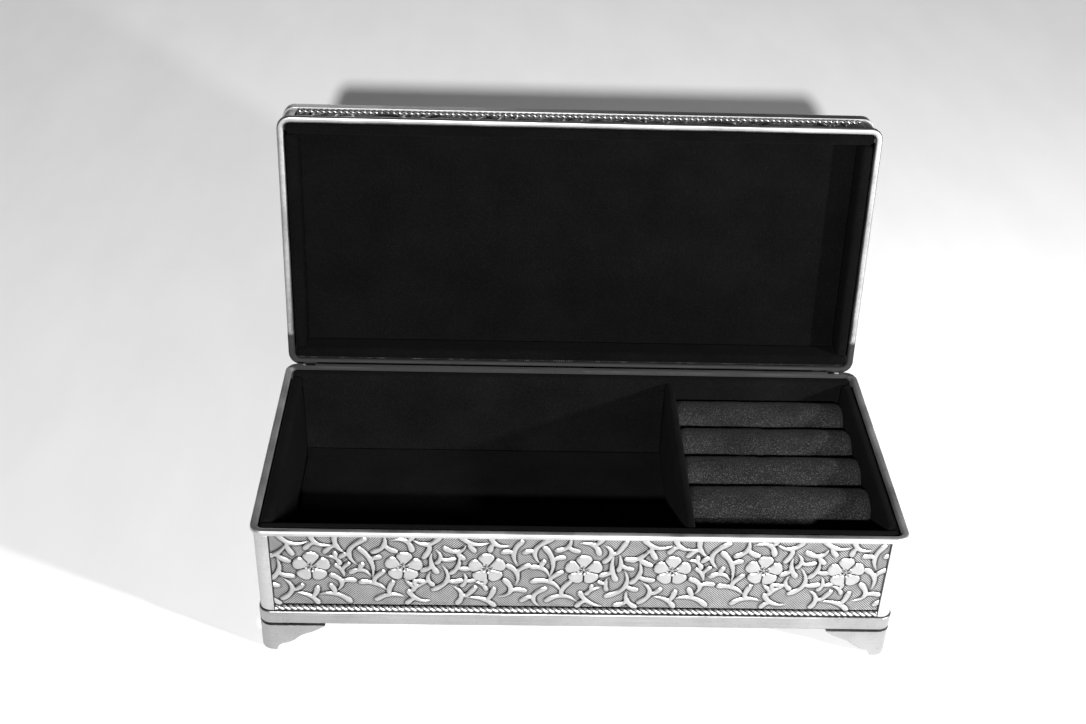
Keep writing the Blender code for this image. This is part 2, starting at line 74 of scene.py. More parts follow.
Flower = tuple[float, float, float]
Maps = Callable[[float, float], "Scrollwork"]


# ---------------------------------------------------------------- places
class Body(Enum):
    """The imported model's moving bodies."""

    BOX = "box"
    LID = "lid"


class Wall(Enum):
    """The four walls, by the turn in degrees that carries the front wall there."""

    FRONT = 0
    RIGHT = 90
    BACK = 180
    LEFT = 270

    @property
    def word(self) -> str:
        """The wall's name inside node names."""
        return self.name.lower()


class Corner(Enum):
    """The four corners, by their node names."""

    FRONT_LEFT = "front_left"
    FRONT_RIGHT = "front_right"
    BACK_RIGHT = "back_right"
    BACK_LEFT = "back_left"


def lid_matrix() -> Matrix:
    """The matrix that carries a piece made on the shut lid to the lid as it stands open.

    Returns:
        The turn about the hinge's axis, from the shut lid to the rest pose.
    """
    hinge = frame["joints"][0]
    axis_point = Matrix.Translation(hinge["pos_m"])
    swing = Matrix.Rotation(-math.radians(hinge["range_deg"][1]), 4, Vector(hinge["axis"]))
    return axis_point @ swing @ axis_point.inverted()


def making_frame(body: Body, wall: Wall = Wall.FRONT) -> Matrix:
    """The matrix from the making position, front facing and lid shut, to the rest pose.

    Args:
        body: The body that the piece rides on.
        wall: The wall that the piece belongs to.

    Returns:
        The matrix that a piece's mesh is transformed by.
    """
    turn = Matrix.Rotation(math.radians(wall.value), 4, "Z")
    return lid_matrix() @ turn if body is Body.LID else turn


def box_in(matrix: Matrix, node: str) -> tuple[Vector, Vector]:
    """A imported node's box, measured in a making position.

    Args:
        matrix: The making position's matrix.
        node: The node's name.

    Returns:
        The lowest and the highest corner.
    """
    back = matrix.inverted()
    points = np.array([back @ v.co for v in frame["nodes"][node].data.vertices])
    return Vector(points.min(axis=0)), Vector(points.max(axis=0))


# ---------------------------------------------------------------- meshes
def mesh_from(name: str, points: np.ndarray, faces: Iterable[Sequence[int]]) -> bpy.types.Mesh:
    """A smooth-shaded mesh from points and faces.

    Args:
        name: The mesh's name.
        points: One row of three coordinates for each point.
        faces: The faces' corners, as point numbers.

    Returns:
        The mesh, with its faces facing out.
    """
    mesh = bpy.data.meshes.new(name)
    mesh.from_pydata(np.asarray(points, float).tolist(), [], [list(map(int, f)) for f in faces])
    mesh.validate()
    face_out(mesh)
    mesh.shade_smooth()
    return mesh


def face_out(mesh: bpy.types.Mesh) -> None:
    """Turns a closed mesh's faces to face out.

    Args:
        mesh: The closed mesh.
    """
    work = bmesh.new()
    work.from_mesh(mesh)
    bmesh.ops.recalc_face_normals(work, faces=work.faces)
    if work.calc_volume(signed=True) < 0:
        bmesh.ops.reverse_faces(work, faces=work.faces)
    work.to_mesh(mesh)
    work.free()


def grid_faces(rows: int, columns: int, start: int = 0, closed: bool = False) -> list[tuple[int, ...]]:
    """Four-cornered faces over a grid of points.

    Args:
        rows: How many rows of points there are.
        columns: How many points a row has.
        start: The first point's number.
        closed: True if each row's last point joins its first.

    Returns:
        The faces' corners.
    """
    faces = []
    for row in range(rows - 1):
        for column in range(columns if closed else columns - 1):
            after = (column + 1) % columns
            a, b = start + row * columns + column, start + row * columns + after
            faces.append((a, b, b + columns, a + columns))
    return faces


def add_number(mesh: bpy.types.Mesh, name: str, values: np.ndarray) -> None:
    """Stores one number for each point, for the finish to read."""
    attribute = mesh.attributes.new(name, "FLOAT", "POINT")
    attribute.data.foreach_set("value", np.asarray(values, np.float32).ravel())


def add_place(mesh: bpy.types.Mesh, name: str, values: np.ndarray) -> None:
    """Stores a flat place for each point, for the finish to read."""
    attribute = mesh.attributes.new(name, "FLOAT_VECTOR", "POINT")
    attribute.data.foreach_set("vector", np.asarray(values, np.float32).ravel())


def set_piece(
    name: str,
    mesh: bpy.types.Mesh,
    matrix: Matrix,
    body: Body,
    finish: bpy.types.Material,
    nodes: Sequence[str],
) -> bpy.types.Object:
    """Puts a finished mesh in its place, on its body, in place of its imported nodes.

    Args:
        name: The piece's name.
        mesh: The mesh, in its making position.
        matrix: The matrix from the making position to the rest pose.
        body: The body that the piece rides on.
        finish: The piece's material.
        nodes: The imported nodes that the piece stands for.

    Returns:
        The new object.
    """
    mesh.transform(matrix)
    mesh.materials.clear()
    mesh.materials.append(finish)
    piece = bpy.data.objects.new(name, mesh)
    bpy.context.scene.collection.objects.link(piece)
    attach(piece, body.value)
    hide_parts(*nodes)
    LOG.info("%s stands for %s, %d faces", name, ", ".join(nodes), len(mesh.polygons))
    return piece


# ---------------------------------------------------------------- finishes
class Recipe:
    """One procedural material while its nodes are being joined up."""

    def __init__(self, name: str) -> None:
        """Starts a material with one principled shader.

        Args:
            name: The material's name.
        """
        self.material = bpy.data.materials.new(name)
        self.material.use_nodes = True
        self.tree = self.material.node_tree
        self.shader = self.tree.nodes["Principled BSDF"]

    def node(self, kind: str, inputs: dict[str | int, object], **settings: object) -> bpy.types.Node:
        """Adds a node.

        Args:
            kind: The node's type.
            inputs: What each input gets, by name or number: a socket to link or a value.
            settings: The node's own options.

        Returns:
            The node.
        """
        made = self.tree.nodes.new(kind)
        for option, value in settings.items():
            setattr(made, option, value)
        for key, value in inputs.items():
            self.feed(made.inputs[key], value)
        return made

    def feed(self, socket: bpy.types.NodeSocket, value: object) -> None:
        """Links a socket to an input, or sets the input's value.

        Args:
            socket: The input.
            value: The socket to link, or the value to set.
        """
        if isinstance(value, bpy.types.NodeSocket):
            self.tree.links.new(value, socket)
        else:
            socket.default_value = value

    def own_place(self) -> bpy.types.NodeSocket:
        """The piece's own coordinates, in metres."""
        return self.node("ShaderNodeTexCoord", {}).outputs["Object"]

    def stored(self, name: str, output: str = "Fac") -> bpy.types.NodeSocket:
        """A number or place stored on the mesh."""
        return self.node("ShaderNodeAttribute", {}, attribute_name=name).outputs[output]

    def stretched(self, place: bpy.types.NodeSocket, scale: Sequence[float]) -> bpy.types.NodeSocket:
        """Coordinates scaled along each axis."""
        made = self.node("ShaderNodeVectorMath", {0: place, 1: tuple(scale)}, operation="MULTIPLY")
        return made.outputs[0]

    def along(self, place: bpy.types.NodeSocket, way: Sequence[float]) -> bpy.types.NodeSocket:
        """How far a place lies along a direction, in lengths of that direction."""
        made = self.node("ShaderNodeVectorMath", {0: place, 1: tuple(way)}, operation="DOT_PRODUCT")
        return made.outputs["Value"]

    def noise(self, place: bpy.types.NodeSocket, scale: float, detail: float = 2.0) -> bpy.types.NodeSocket:
        """Smooth noise, from 0 to 1."""
        inputs = {"Vector": place, "Scale": scale, "Detail": detail, "Roughness": 0.55}
        return self.node("ShaderNodeTexNoise", inputs).outputs[0]

    def maths(self, operation: str, *values: object, clamp: bool = False) -> bpy.types.NodeSocket:
        """One sum, product or function of numbers.

        Args:
            operation: The operation's name.
            values: The numbers, each a socket or a value.
            clamp: True if the result is held between 0 and 1.

        Returns:
            The result.
        """
        inputs = dict(enumerate(values))
        made = self.node("ShaderNodeMath", inputs, operation=operation, use_clamp=clamp)
        return made.outputs[0]

    def spread(
        self, value: bpy.types.NodeSocket, low: float, high: float, to_low: float = 0.0, to_high: float = 1.0
    ) -> bpy.types.NodeSocket:
        """Carries a range of numbers to another one, held at its ends.

        Args:
            value: The number.
            low: What gives to_low.
            high: What gives to_high.
            to_low: The result's first end.
            to_high: The result's other end.

        Returns:
            The carried number.
        """
        inputs = {"Value": value, "From Min": low, "From Max": high, "To Min": to_low, "To Max": to_high}
        return self.node("ShaderNodeMapRange", inputs, clamp=True).outputs[0]

    def greys(self, factor: bpy.types.NodeSocket, dark: float, light: float) -> bpy.types.NodeSocket:
        """A neutral colour between two grey levels."""
        return self.mixed_colours(factor, (dark, dark, dark, 1.0), (light, light, light, 1.0))

    def mixed_colours(
        self, factor: bpy.types.NodeSocket, first: object, second: object
    ) -> bpy.types.NodeSocket:
        """A colour between two colours, each a socket or a value.

        Args:
            factor: How far the colour is from the first to the second.
            first: The first colour.
            second: The second colour.

        Returns:
            The mixed colour.
        """
        made = self.tree.nodes.new("ShaderNodeMix")
        made.data_type = "RGBA"
        sockets = [socket for socket in made.inputs if socket.enabled]
        for socket, value in zip(sockets, (factor, first, second)):
            self.feed(socket, value)
        return next(socket for socket in made.outputs if socket.enabled)

    def shaded(self, colour: bpy.types.NodeSocket, amount: bpy.types.NodeSocket) -> bpy.types.NodeSocket:
        """A colour darkened by a number from 0 to 1."""
        return self.node("ShaderNodeVectorMath", {0: colour, "Scale": amount}, operation="SCALE").outputs[0]

    def bump(
        self, height: bpy.types.NodeSocket, depth: float, below: bpy.types.NodeSocket | None = None
    ) -> bpy.types.NodeSocket:
        """A surface normal from a height.

        Args:
            height: The height, from 0 to 1.
            depth: The height's full depth, in metres.
            below: The normal of a coarser bump under this one.

        Returns:
            The bent normal.
        """
        inputs: dict[str | int, object] = {"Height": height, "Distance": depth, "Strength": 1.0}
        if below is not None:
            inputs["Normal"] = below
        return self.node("ShaderNodeBump", inputs).outputs[0]

    def done(self, **links: object) -> bpy.types.Material:
        """Joins sockets and constants to the shader and gives the material."""
        for name, value in links.items():
            self.feed(self.shader.inputs[name.replace("_", " ")], value)
        return self.material


class Grain(Enum):
    """How the polishing lines lie on a piece, as the noise's scale along each of its own axes."""

    LEVEL = (30.0, 30.0, 5200.0)
    LEVEL_ON_LID = (30.0, 5200.0, 30.0)
    CROSSED = (900.0, 900.0, 900.0)


@dataclass(frozen=True)
class SilverPlate:
    """Plain silver plate: faint polishing lines, a cloudy tarnished tone, fine scratches and painted shade in
    the gap along the hinge.
    """

    name: str
    dark: float
    light: float
    roughness: float
    grain: Grain
    grain_depth: float
    # Painted shade in the gap along the hinge: how far the colour is darkened there, and the roughness added
    # there.
    tarnish: float = 0.14
    tarnish_roughness: float = 0.40
    gap_front: tuple[float, float] = (27.0 * MM, 29.5 * MM)
    gap_under_axis: float = 1.2 * MM
    gap_over_axis: tuple[float, float] = (12.0 * MM, 14.0 * MM)

    def hinge_tarnish(self, recipe: Recipe, place: bpy.types.NodeSocket) -> bpy.types.NodeSocket:
        """Painted shade in the gap along the hinge, where the rims sit in shade and reflect the dark lining.

        Args:
            recipe: The material being made.
            place: The piece's own coordinates, in metres.

        Returns:
            A number from the painted shade's depth, in the gap, to 1.
        """
        axis_z = frame["joints"][0]["pos_m"][2]
        back = recipe.spread(recipe.along(place, (0.0, 1.0, 0.0)), *self.gap_front)
        height = recipe.along(place, (0.0, 0.0, 1.0))
        over = recipe.spread(height, axis_z - self.gap_under_axis, axis_z)
        first, last = self.gap_over_axis
        under = recipe.spread(height, axis_z + first, axis_z + last, 1.0, 0.0)
        in_gap = recipe.maths("MULTIPLY", recipe.maths("MULTIPLY", back, over), under)
        return recipe.spread(in_gap, 0.0, 1.0, 1.0, self.tarnish)

    def material(self) -> bpy.types.Material:
        """Makes the finish.

        Returns:
            The material.
        """
        recipe = Recipe(self.name)
        place = recipe.own_place()
        lines = recipe.noise(recipe.stretched(place, self.grain.value), 1.0, 3.0)
        cloud = recipe.noise(place, 55.0, 4.0)
        fleck = recipe.noise(place, 1400.0, 3.0)
        cloudy = recipe.maths("MULTIPLY", cloud, 0.45)
        tone = recipe.maths("ADD", cloudy, recipe.maths("MULTIPLY", lines, 0.55))
        colour = recipe.greys(recipe.spread(tone, 0.34, 0.62), self.dark, self.light)
        colour = recipe.shaded(colour, recipe.spread(fleck, 0.30, 0.42, 0.80, 1.0))
        gap_shade_factor = self.hinge_tarnish(recipe, place)
        # Painted shade: the colour is darkened in the gap along the hinge.
        colour = recipe.shaded(colour, gap_shade_factor)
        rough = recipe.spread(cloud, 0.30, 0.70, self.roughness * 0.82, self.roughness * 1.22)
        added = recipe.spread(gap_shade_factor, self.tarnish, 1.0, self.tarnish_roughness, 0.0)
        rough = recipe.maths("ADD", rough, added)
        dents = recipe.bump(cloud, 0.00012)
        normal = recipe.bump(lines, self.grain_depth, dents)
        return recipe.done(Base_Color=colour, Roughness=rough, Normal=normal, Metallic=1.0)


@dataclass(frozen=True)
class ReliefPlate:
    """Pressed plate: polished on the relief, blackened round its foot, and hatched on the ground."""

    name: str
    ground_dark: float
    ground_light: float
    black: float
    bright: float
    hatch_pitch: float
    roughness: float

    def hatch(self, recipe: Recipe, place: bpy.types.NodeSocket) -> bpy.types.NodeSocket:
        """Fine slanting lines, whose slant changes from patch to patch.

        Args:
            recipe: The material being made.
            place: Flat coordinates on the plate, in metres.

        Returns:
            The lines, from 0 in a groove to 1 on a ridge.
        """
        turns = FULL_TURN / (self.hatch_pitch * math.sqrt(2))
        first = recipe.maths("SINE", recipe.along(place, (turns, 0.0, turns)))
        second = recipe.maths("SINE", recipe.along(place, (turns, 0.0, -turns)))
        patch = recipe.spread(recipe.noise(place, 95.0, 1.0), 0.47, 0.53)
        mixed = recipe.node("ShaderNodeMix", {0: patch, 2: first, 3: second})
        return recipe.spread(mixed.outputs[0], -0.9, 0.9)

    def material(self) -> bpy.types.Material:
        """Makes the finish.

        Returns:
            The material.
        """
        recipe = Recipe(self.name)
        place = recipe.stored("field", "Vector")
        rise, hollow = recipe.stored("rise"), recipe.stored("hollow")
        lines = self.hatch(recipe, place)
        on_ground = recipe.spread(rise, 0.02, 0.16, 1.0, 0.0)
        cloud = recipe.noise(place, 260.0, 3.0)
        worn_lines = recipe.maths("MULTIPLY", lines, recipe.spread(cloud, 0.3, 0.7, 0.75, 1.0))
        ground = recipe.greys(worn_lines, self.ground_dark, self.ground_light)
        top = recipe.greys(recipe.spread(cloud, 0.25, 0.65), self.bright * 0.86, self.bright)
        plate = recipe.mixed_colours(recipe.spread(rise, 0.08, 0.45), ground, top)
        patina_and_back_shade = recipe.maths("MULTIPLY", hollow, recipe.spread(cloud, 0.2, 0.6, 0.8, 1.0), clamp=True)
        # The hollows' patina darkens the colour; the plate's back, stored as a deep hollow, is blackened as
        # painted shade.
        colour = recipe.shaded(plate, recipe.spread(patina_and_back_shade, 0.05, 0.85, 1.0, self.black))
        rough = recipe.spread(rise, 0.0, 0.7, self.roughness * 1.35, self.roughness)
        hatch_height = recipe.maths("MULTIPLY", lines, on_ground)
        normal = recipe.bump(hatch_height, 0.00007, recipe.bump(cloud, 0.00006))
        return recipe.done(Base_Color=colour, Roughness=rough, Normal=normal, Metallic=1.0)


@dataclass(frozen=True)
class RopePlate:
    """Twisted wire: bright on the strands' backs and black between them."""

    name: str
    black: float
    bright: float
    roughness: float

    def material(self) -> bpy.types.Material:
        """Makes the finish.

        Returns:
            The material.
        """
        recipe = Recipe(self.name)
        rise = recipe.stored("rise")
        fleck = recipe.noise(recipe.own_place(), 1600.0, 2.0)
        worn = recipe.spread(rise, 0.04, 0.38)
        colour = recipe.greys(worn, self.black, self.bright)
        colour = recipe.shaded(colour, recipe.spread(fleck, 0.30, 0.50, 0.72, 1.0))
        rough = recipe.spread(rise, 0.3, 0.9, self.roughness * 1.6, self.roughness)
        normal = recipe.bump(fleck, 0.00003)
        return recipe.done(Base_Color=colour, Roughness=rough, Normal=normal, Metallic=1.0)


@dataclass(frozen=True)
class Velvet:
    """Short black pile: matt, with a soft sheen, brushed patches and painted glints, bright specks in the
    colour that are strongest on the rolls.
    """

    name: str
    dark: float
    light: float
    sheen: float
    pile_scale: float
    sparkle: float

    def material(self) -> bpy.types.Material:
        """Makes the finish.

        Returns:
            The material.
        """
        recipe = Recipe(self.name)
        place = recipe.own_place()
        pile = recipe.noise(place, self.pile_scale, 2.0)
        brushed = recipe.noise(recipe.stretched(place, (1.0, 1.6, 1.0)), 45.0, 3.0)
        fine = recipe.maths("MULTIPLY", pile, 0.6)
        tone = recipe.maths("ADD", fine, recipe.maths("MULTIPLY", brushed, 0.4))
        base = recipe.greys(recipe.spread(tone, 0.36, 0.64), self.dark, self.light)
        glint_specks = recipe.noise(place, self.pile_scale * 0.72, 0.0)
        # Painted glints: random specks are made brighter in the colour.
        colour = recipe.shaded(base, recipe.spread(glint_specks, 0.52, 0.72, 1.0, 1.0 + self.sparkle))
        normal = recipe.bump(pile, 0.00022, recipe.bump(brushed, 0.0005))
        material = recipe.done(Base_Color=colour, Roughness=1.0, Normal=normal)
        recipe.done(Sheen_Weight=self.sheen, Sheen_Roughness=0.45, Specular_IOR_Level=0.05)
        return material


@dataclass(frozen=True)
class PlainCover:
    """Card, felt or paper: a fibrous matt sheet."""

    name: str
    dark: float
    light: float
    fibre_scale: float

    def material(self) -> bpy.types.Material:
        """Makes the finish.

        Returns:
            The material.
        """
        recipe = Recipe(self.name)
        place = recipe.own_place()
        fibres = recipe.noise(recipe.stretched(place, (1.0, 0.35, 1.0)), self.fibre_scale, 4.0)
        colour = recipe.greys(recipe.spread(fibres, 0.35, 0.65), self.dark, self.light)
        normal = recipe.bump(fibres, 0.0001)
        return recipe.done(Base_Color=colour, Roughness=0.92, Normal=normal, Specular_IOR_Level=0.2)


@dataclass
class Finishes:
    """Every finish, made once."""

    bright: bpy.types.Material = field(init=False)
    bright_lid: bpy.types.Material = field(init=False)
    rim: bpy.types.Material = field(init=False)
    satin: bpy.types.Material = field(init=False)
    relief: bpy.types.Material = field(init=False)
    rope: bpy.types.Material = field(init=False)
    steel: bpy.types.Material = field(init=False)
    velvet: bpy.types.Material = field(init=False)
    lid_velvet: bpy.types.Material = field(init=False)
    velour: bpy.types.Material = field(init=False)
    card: bpy.types.Material = field(init=False)
    felt: bpy.types.Material = field(init=False)

    def __post_init__(self) -> None:
        """Makes the materials."""
        self.bright = SilverPlate("bright_silver_plate", 0.46, 0.60, 0.42, Grain.LEVEL, 0.00002).material()
        # Painted shade: the lid's copy of the bright silver plate has darker greys.
        shaded_lid_plate = SilverPlate("lid_silver_plate", 0.27, 0.38, 0.42, Grain.LEVEL_ON_LID, 0.00002)
        self.bright_lid = shaded_lid_plate.material()
        self.rim = SilverPlate("rim_silver_plate", 0.44, 0.58, 0.54, Grain.LEVEL, 0.00002).material()
        self.satin = SilverPlate("satin_silver_plate", 0.29, 0.43, 0.32, Grain.LEVEL, 0.00004).material()
        self.relief = ReliefPlate("relief_silver_plate", 0.04, 0.56, 0.03, 0.50, 0.64 * MM, 0.33).material()
        self.rope = RopePlate("rope_silver_plate", 0.008, 0.62, 0.30).material()
        self.steel = SilverPlate("hinge_steel", 0.38, 0.55, 0.30, Grain.CROSSED, 0.00001).material()
        self.velvet = Velvet("black_velvet", 0.0010, 0.0036, 0.006, 2600.0, 0.6).material()
        # Painted shade: the lid's copy of the black velvet has darker greys.
        self.lid_velvet = Velvet("lid_velvet", 0.0006, 0.0022, 0.004, 2600.0, 0.6).material()
        self.velour = Velvet("roll_velour", 0.0030, 0.0150, 0.020, 3500.0, 2.4).material()
        self.card = PlainCover("black_card", 0.010, 0.020, 900.0).material()
        self.felt = PlainCover("base_felt", 0.010, 0.022, 1500.0).material()


# ---------------------------------------------------------------- relief plates
@dataclass(frozen=True)
class Leaf:
    """A forked leaf: a pointed stem that runs through a fork to a round end, and a lobe off the fork.

    Places are (x, z) on the plate. In the lists below they are millimetres, with z down from the top."""

    tip: tuple[float, float]
    fork: tuple[float, float]
    end: tuple[float, float]
    lobe: tuple[float, float]
    full_length: float = 8.5 * MM
    full_radius: float = 1.14 * MM
    dot_gap: float = 0.22 * MM

    def dots(self) -> np.ndarray:
        """The leaf as closely set dots.

        Returns:
            One row for each dot: x, z and radius.
        """
        tip, fork, end, lobe = (np.array(place) for place in (self.tip, self.fork, self.end, self.lobe))
        stem, arm, side = (float(np.linalg.norm(part)) for part in (fork - tip, end - fork, lobe - fork))
        at_fork = stem / (stem + arm)
        bend = (fork - (1 - at_fork) ** 2 * tip - at_fork**2 * end) / (2 * at_fork * (1 - at_fork))
        size = min(1.0, (stem + arm) / self.full_length) ** 0.5 * self.full_radius
        stem_shares = (0, 0.30 * at_fork, at_fork, 0.5 + 0.5 * at_fork, 0.94, 1)
        main = self.curve(tip, bend, end, stem + arm, stem_shares, (0.14, 0.42, 0.82, 0.80, 1.00, 0.84), size)
        turn = fork + (fork - tip) / stem * side * 0.42
        other = self.curve(fork, turn, lobe, side, (0, 0.4, 0.9, 1), (0.74, 0.74, 0.96, 0.80), size)
        return np.vstack([main, other])

    def curve(
        self,
        first: np.ndarray,
        bend: np.ndarray,
        last: np.ndarray,
        length: float,
        shares: Sequence[float],
        radii: Sequence[float],
        size: float,
    ) -> np.ndarray:
        """Dots along a curve that sets out and arrives along its bend point.

        Args:
            first: Where the curve starts.
            bend: The point that the curve bends towards.
            last: Where the curve stops.
            length: The curve's rough length.
            shares: Shares of the curve that a radius is given for.
            radii: The radii there.
            size: What the radii are multiplied by.

        Returns:
            One row for each dot: x, z and radius.
        """
        share = np.linspace(0, 1, max(6, int(length / self.dot_gap)))[:, None]
        places = (1 - share) ** 2 * first + 2 * share * (1 - share) * bend + share**2 * last
        return np.column_stack([places, np.interp(share[:, 0], shares, radii) * size])


@dataclass(frozen=True)
class Strip:
    """One length of the scroll pattern, which repeats along a plate. Lengths are millimetres."""

    repeat: float
    top: float
    flowers: tuple[Flower, ...]
    leaves: tuple[Leaf, ...]
    flower_margin: float = 7.0

    def laid(self, width: float, top_z: float, phase: float = 0.0) -> tuple[list[Flower], list[Leaf]]:
        """The flowers and leaves that fall on a plate.

        Args:
            width: The plate's length, in metres.
            top_z: The height of the strip's top edge on the plate, in metres.
            phase: How far the pattern is shifted along the plate, in millimetres.

        Returns:
            The flowers and the leaves, in metres on the plate.
        """
        flowers: list[Flower] = []
        leaves: list[Leaf] = []
        reach = width / 2

        def placed(place: tuple[float, float], shift: float) -> tuple[float, float]:
            """A place of the list as metres on the plate."""
            return (place[0] + shift) * MM, top_z - (place[1] - self.top) * MM

        for copy in range(-2, 3):
            shift = phase + copy * self.repeat
            for x, down, turn in self.flowers:
                flower_x, flower_z = placed((x, down), shift)
                if abs(flower_x) < reach - self.flower_margin * MM:
                    flowers.append((flower_x, flower_z, turn))
            for leaf in self.leaves:
                moved = [placed(place, shift) for place in (leaf.tip, leaf.fork, leaf.end, leaf.lobe)]
                if any(abs(x) < reach for x, _ in moved):
                    leaves.append(Leaf(*moved))
        return flowers, leaves


WALL_STRIP = Strip(
    repeat=121.5,
    top=1.6,
    flowers=((-90.2, 15.3, 0), (-59.3, 14.8, 4), (-31.3, 15.1, -3), (1.3, 15.4, 0)),
    leaves=(
        Leaf((-90.3, 4.0), (-97.0, 5.0), (-100.5, 1.6), (-96.3, 9.8)),
        Leaf((-98.0, 5.6), (-101.0, 9.2), (-104.2, 11.0), (-97.7, 13.0)),
        Leaf((-101.6, 11.5), (-101.3, 17.3), (-103.8, 20.8), (-96.7, 19.8)),
        Leaf((-100.3, 20.5), (-97.2, 25.3), (-100.7, 29.9), (-93.8, 23.8)),
        Leaf((-96.0, 27.2), (-91.3, 28.6), (-88.8, 31.6), (-88.6, 24.7)),
        Leaf((-88.3, 27.9), (-83.5, 27.3), (-77.8, 30.8), (-84.0, 23.6)),
        Leaf((-81.9, 25.9), (-80.3, 22.3), (-83.6, 19.0), (-76.0, 21.3)),
        Leaf((-79.4, 19.6), (-79.8, 17.3), (-82.0, 14.5), (-77.6, 13.7)),
        Leaf((-85.3, 10.9), (-82.4, 11.0), (-80.6, 13.8), (-82.1, 9.2)),
        Leaf((-79.0, 8.8), (-81.2, 6.4), (-81.8, 1.4), (-85.4, 8.7)),
        Leaf((-83.0, 5.6), (-88.3, 4.8), (-89.9, 1.3), (-91.8, 7.2)),
        Leaf((-74.8, 14.3), (-77.4, 9.8), (-72.0, 3.1), (-80.2, 10.8)),
        Leaf((-69.8, 19.6), (-70.2, 12.6), (-73.9, 7.1), (-67.3, 10.8)),
        Leaf((-70.2, 19.6), (-73.6, 16.5), (-77.0, 17.6), (-73.1, 14.0)),
        Leaf((-65.2, 25.6), (-68.8, 22.7), (-73.8, 22.0), (-66.2, 17.2)),
        Leaf((-65.6, 1.5), (-65.4, 4.9), (-69.3, 8.5), (-61.9, 8.2)),
        Leaf((-59.0, 28.6), (-63.4, 27.5), (-68.7, 29.8), (-63.1, 21.9)),
        Leaf((-63.8, 3.7), (-58.3, 3.6), (-56.4, 7.6), (-55.9, 1.4)),
        Leaf((-59.1, 20.3), (-57.7, 22.3), (-56.2, 23.8), (-57.0, 22.6)),
        Leaf((-51.2, 21.8), (-54.6, 23.4), (-56.4, 25.4), (-55.7, 21.0)),
        Leaf((-50.0, 30.1), (-55.3, 29.3), (-57.7, 26.0), (-58.4, 31.3)),
        Leaf((-56.3, 2.8), (-51.4, 5.0), (-47.2, 2.0), (-52.4, 10.6)),
        Leaf((-38.3, 5.0), (-40.6, 7.8), (-45.4, 6.5), (-39.3, 11.0)),
        Leaf((-48.7, 7.1), (-46.9, 10.7), (-48.1, 13.0), (-42.4, 11.2)),
        Leaf((-49.9, 8.8), (-49.9, 13.6), (-48.2, 17.1), (-53.0, 16.5)),
        Leaf((-46.9, 13.4), (-44.6, 20.3), (-49.4, 25.0), (-40.0, 20.8)),
        Leaf((-50.3, 17.0), (-51.2, 20.4), (-49.6, 22.9), (-54.5, 21.2)),
        Leaf((-40.8, 10.4), (-41.0, 14.3), (-43.3, 17.4), (-37.7, 15.6)),
        Leaf((-39.3, 17.4), (-38.4, 20.4), (-39.7, 23.1), (-35.5, 20.5)),
        Leaf((-35.8, 21.2), (-33.0, 22.4), (-31.6, 24.6), (-31.7, 20.6)),
        Leaf((-43.1, 23.3), (-39.9, 27.2), (-41.3, 31.1), (-35.3, 23.9)),
        Leaf((-38.2, 28.5), (-32.4, 29.3), (-28.8, 32.1), (-28.9, 24.5)),
        Leaf((-30.5, 4.0), (-36.6, 4.3), (-40.0, 1.4), (-35.6, 7.5)),
        Leaf((-23.5, 5.1), (-28.6, 4.4), (-30.0, 1.4), (-30.3, 7.3)),
        Leaf((-21.0, 13.8), (-22.4, 8.8), (-19.8, 3.3), (-26.0, 8.0)),
        Leaf((-21.6, 22.6), (-21.2, 17.3), (-24.3, 13.9), (-17.2, 13.7)),
        Leaf((-13.6, 12.7), (-15.4, 8.0), (-10.0, 2.2), (-18.8, 8.0)),
        Leaf((-10.3, 18.6), (-9.2, 11.8), (-12.1, 5.7), (-5.7, 10.0)),
        Leaf((-10.1, 18.9), (-12.8, 14.9), (-16.1, 14.4), (-12.2, 11.9)),
        Leaf((-5.9, 25.6), (-9.6, 21.2), (-15.8, 20.9), (-6.2, 16.6)),
        Leaf((-28.1, 28.3), (-23.2, 25.2), (-25.3, 20.4), (-18.4, 25.1)),
        Leaf((-13.2, 32.3), (-15.5, 28.5), (-11.6, 24.1), (-19.4, 29.6)),
        Leaf((-3.6, 1.3), (-4.0, 4.7), (-7.9, 6.9), (-0.9, 7.2)),
        Leaf((-0.5, 29.9), (-5.1, 27.3), (-10.9, 29.5), (-3.1, 20.7)),
        Leaf((-0.8, 3.9), (3.9, 4.2), (6.2, 8.1), (7.2, 1.5)),
        Leaf((7.5, 4.2), (10.3, 7.5), (8.1, 11.6), (15.1, 2.7)),
        Leaf((11.2, 8.6), (10.9, 15.0), (12.3, 19.6), (7.2, 17.8)),
        Leaf((12.9, 8.7), (13.7, 12.4), (13.1, 15.4), (17.6, 14.8)),
        Leaf((22.5, 6.3), (20.4, 9.5), (15.5, 10.5), (23.4, 12.9)),
        Leaf((15.1, 15.4), (16.0, 21.8), (9.5, 27.1), (19.5, 24.1)),
        Leaf((9.3, 19.0), (9.0, 21.0), (9.4, 24.2), (6.7, 20.8)),
        Leaf((7.5, 23.4), (4.6, 24.2), (2.7, 26.2), (4.3, 22.7)),
        Leaf((16.3, 25.0), (16.5, 28.6), (19.6, 32.1), (12.7, 31.3)),
        Leaf((8.7, 31.9), (3.0, 29.6), (0.5, 25.8), (-0.4, 32.0)),
    ),
)


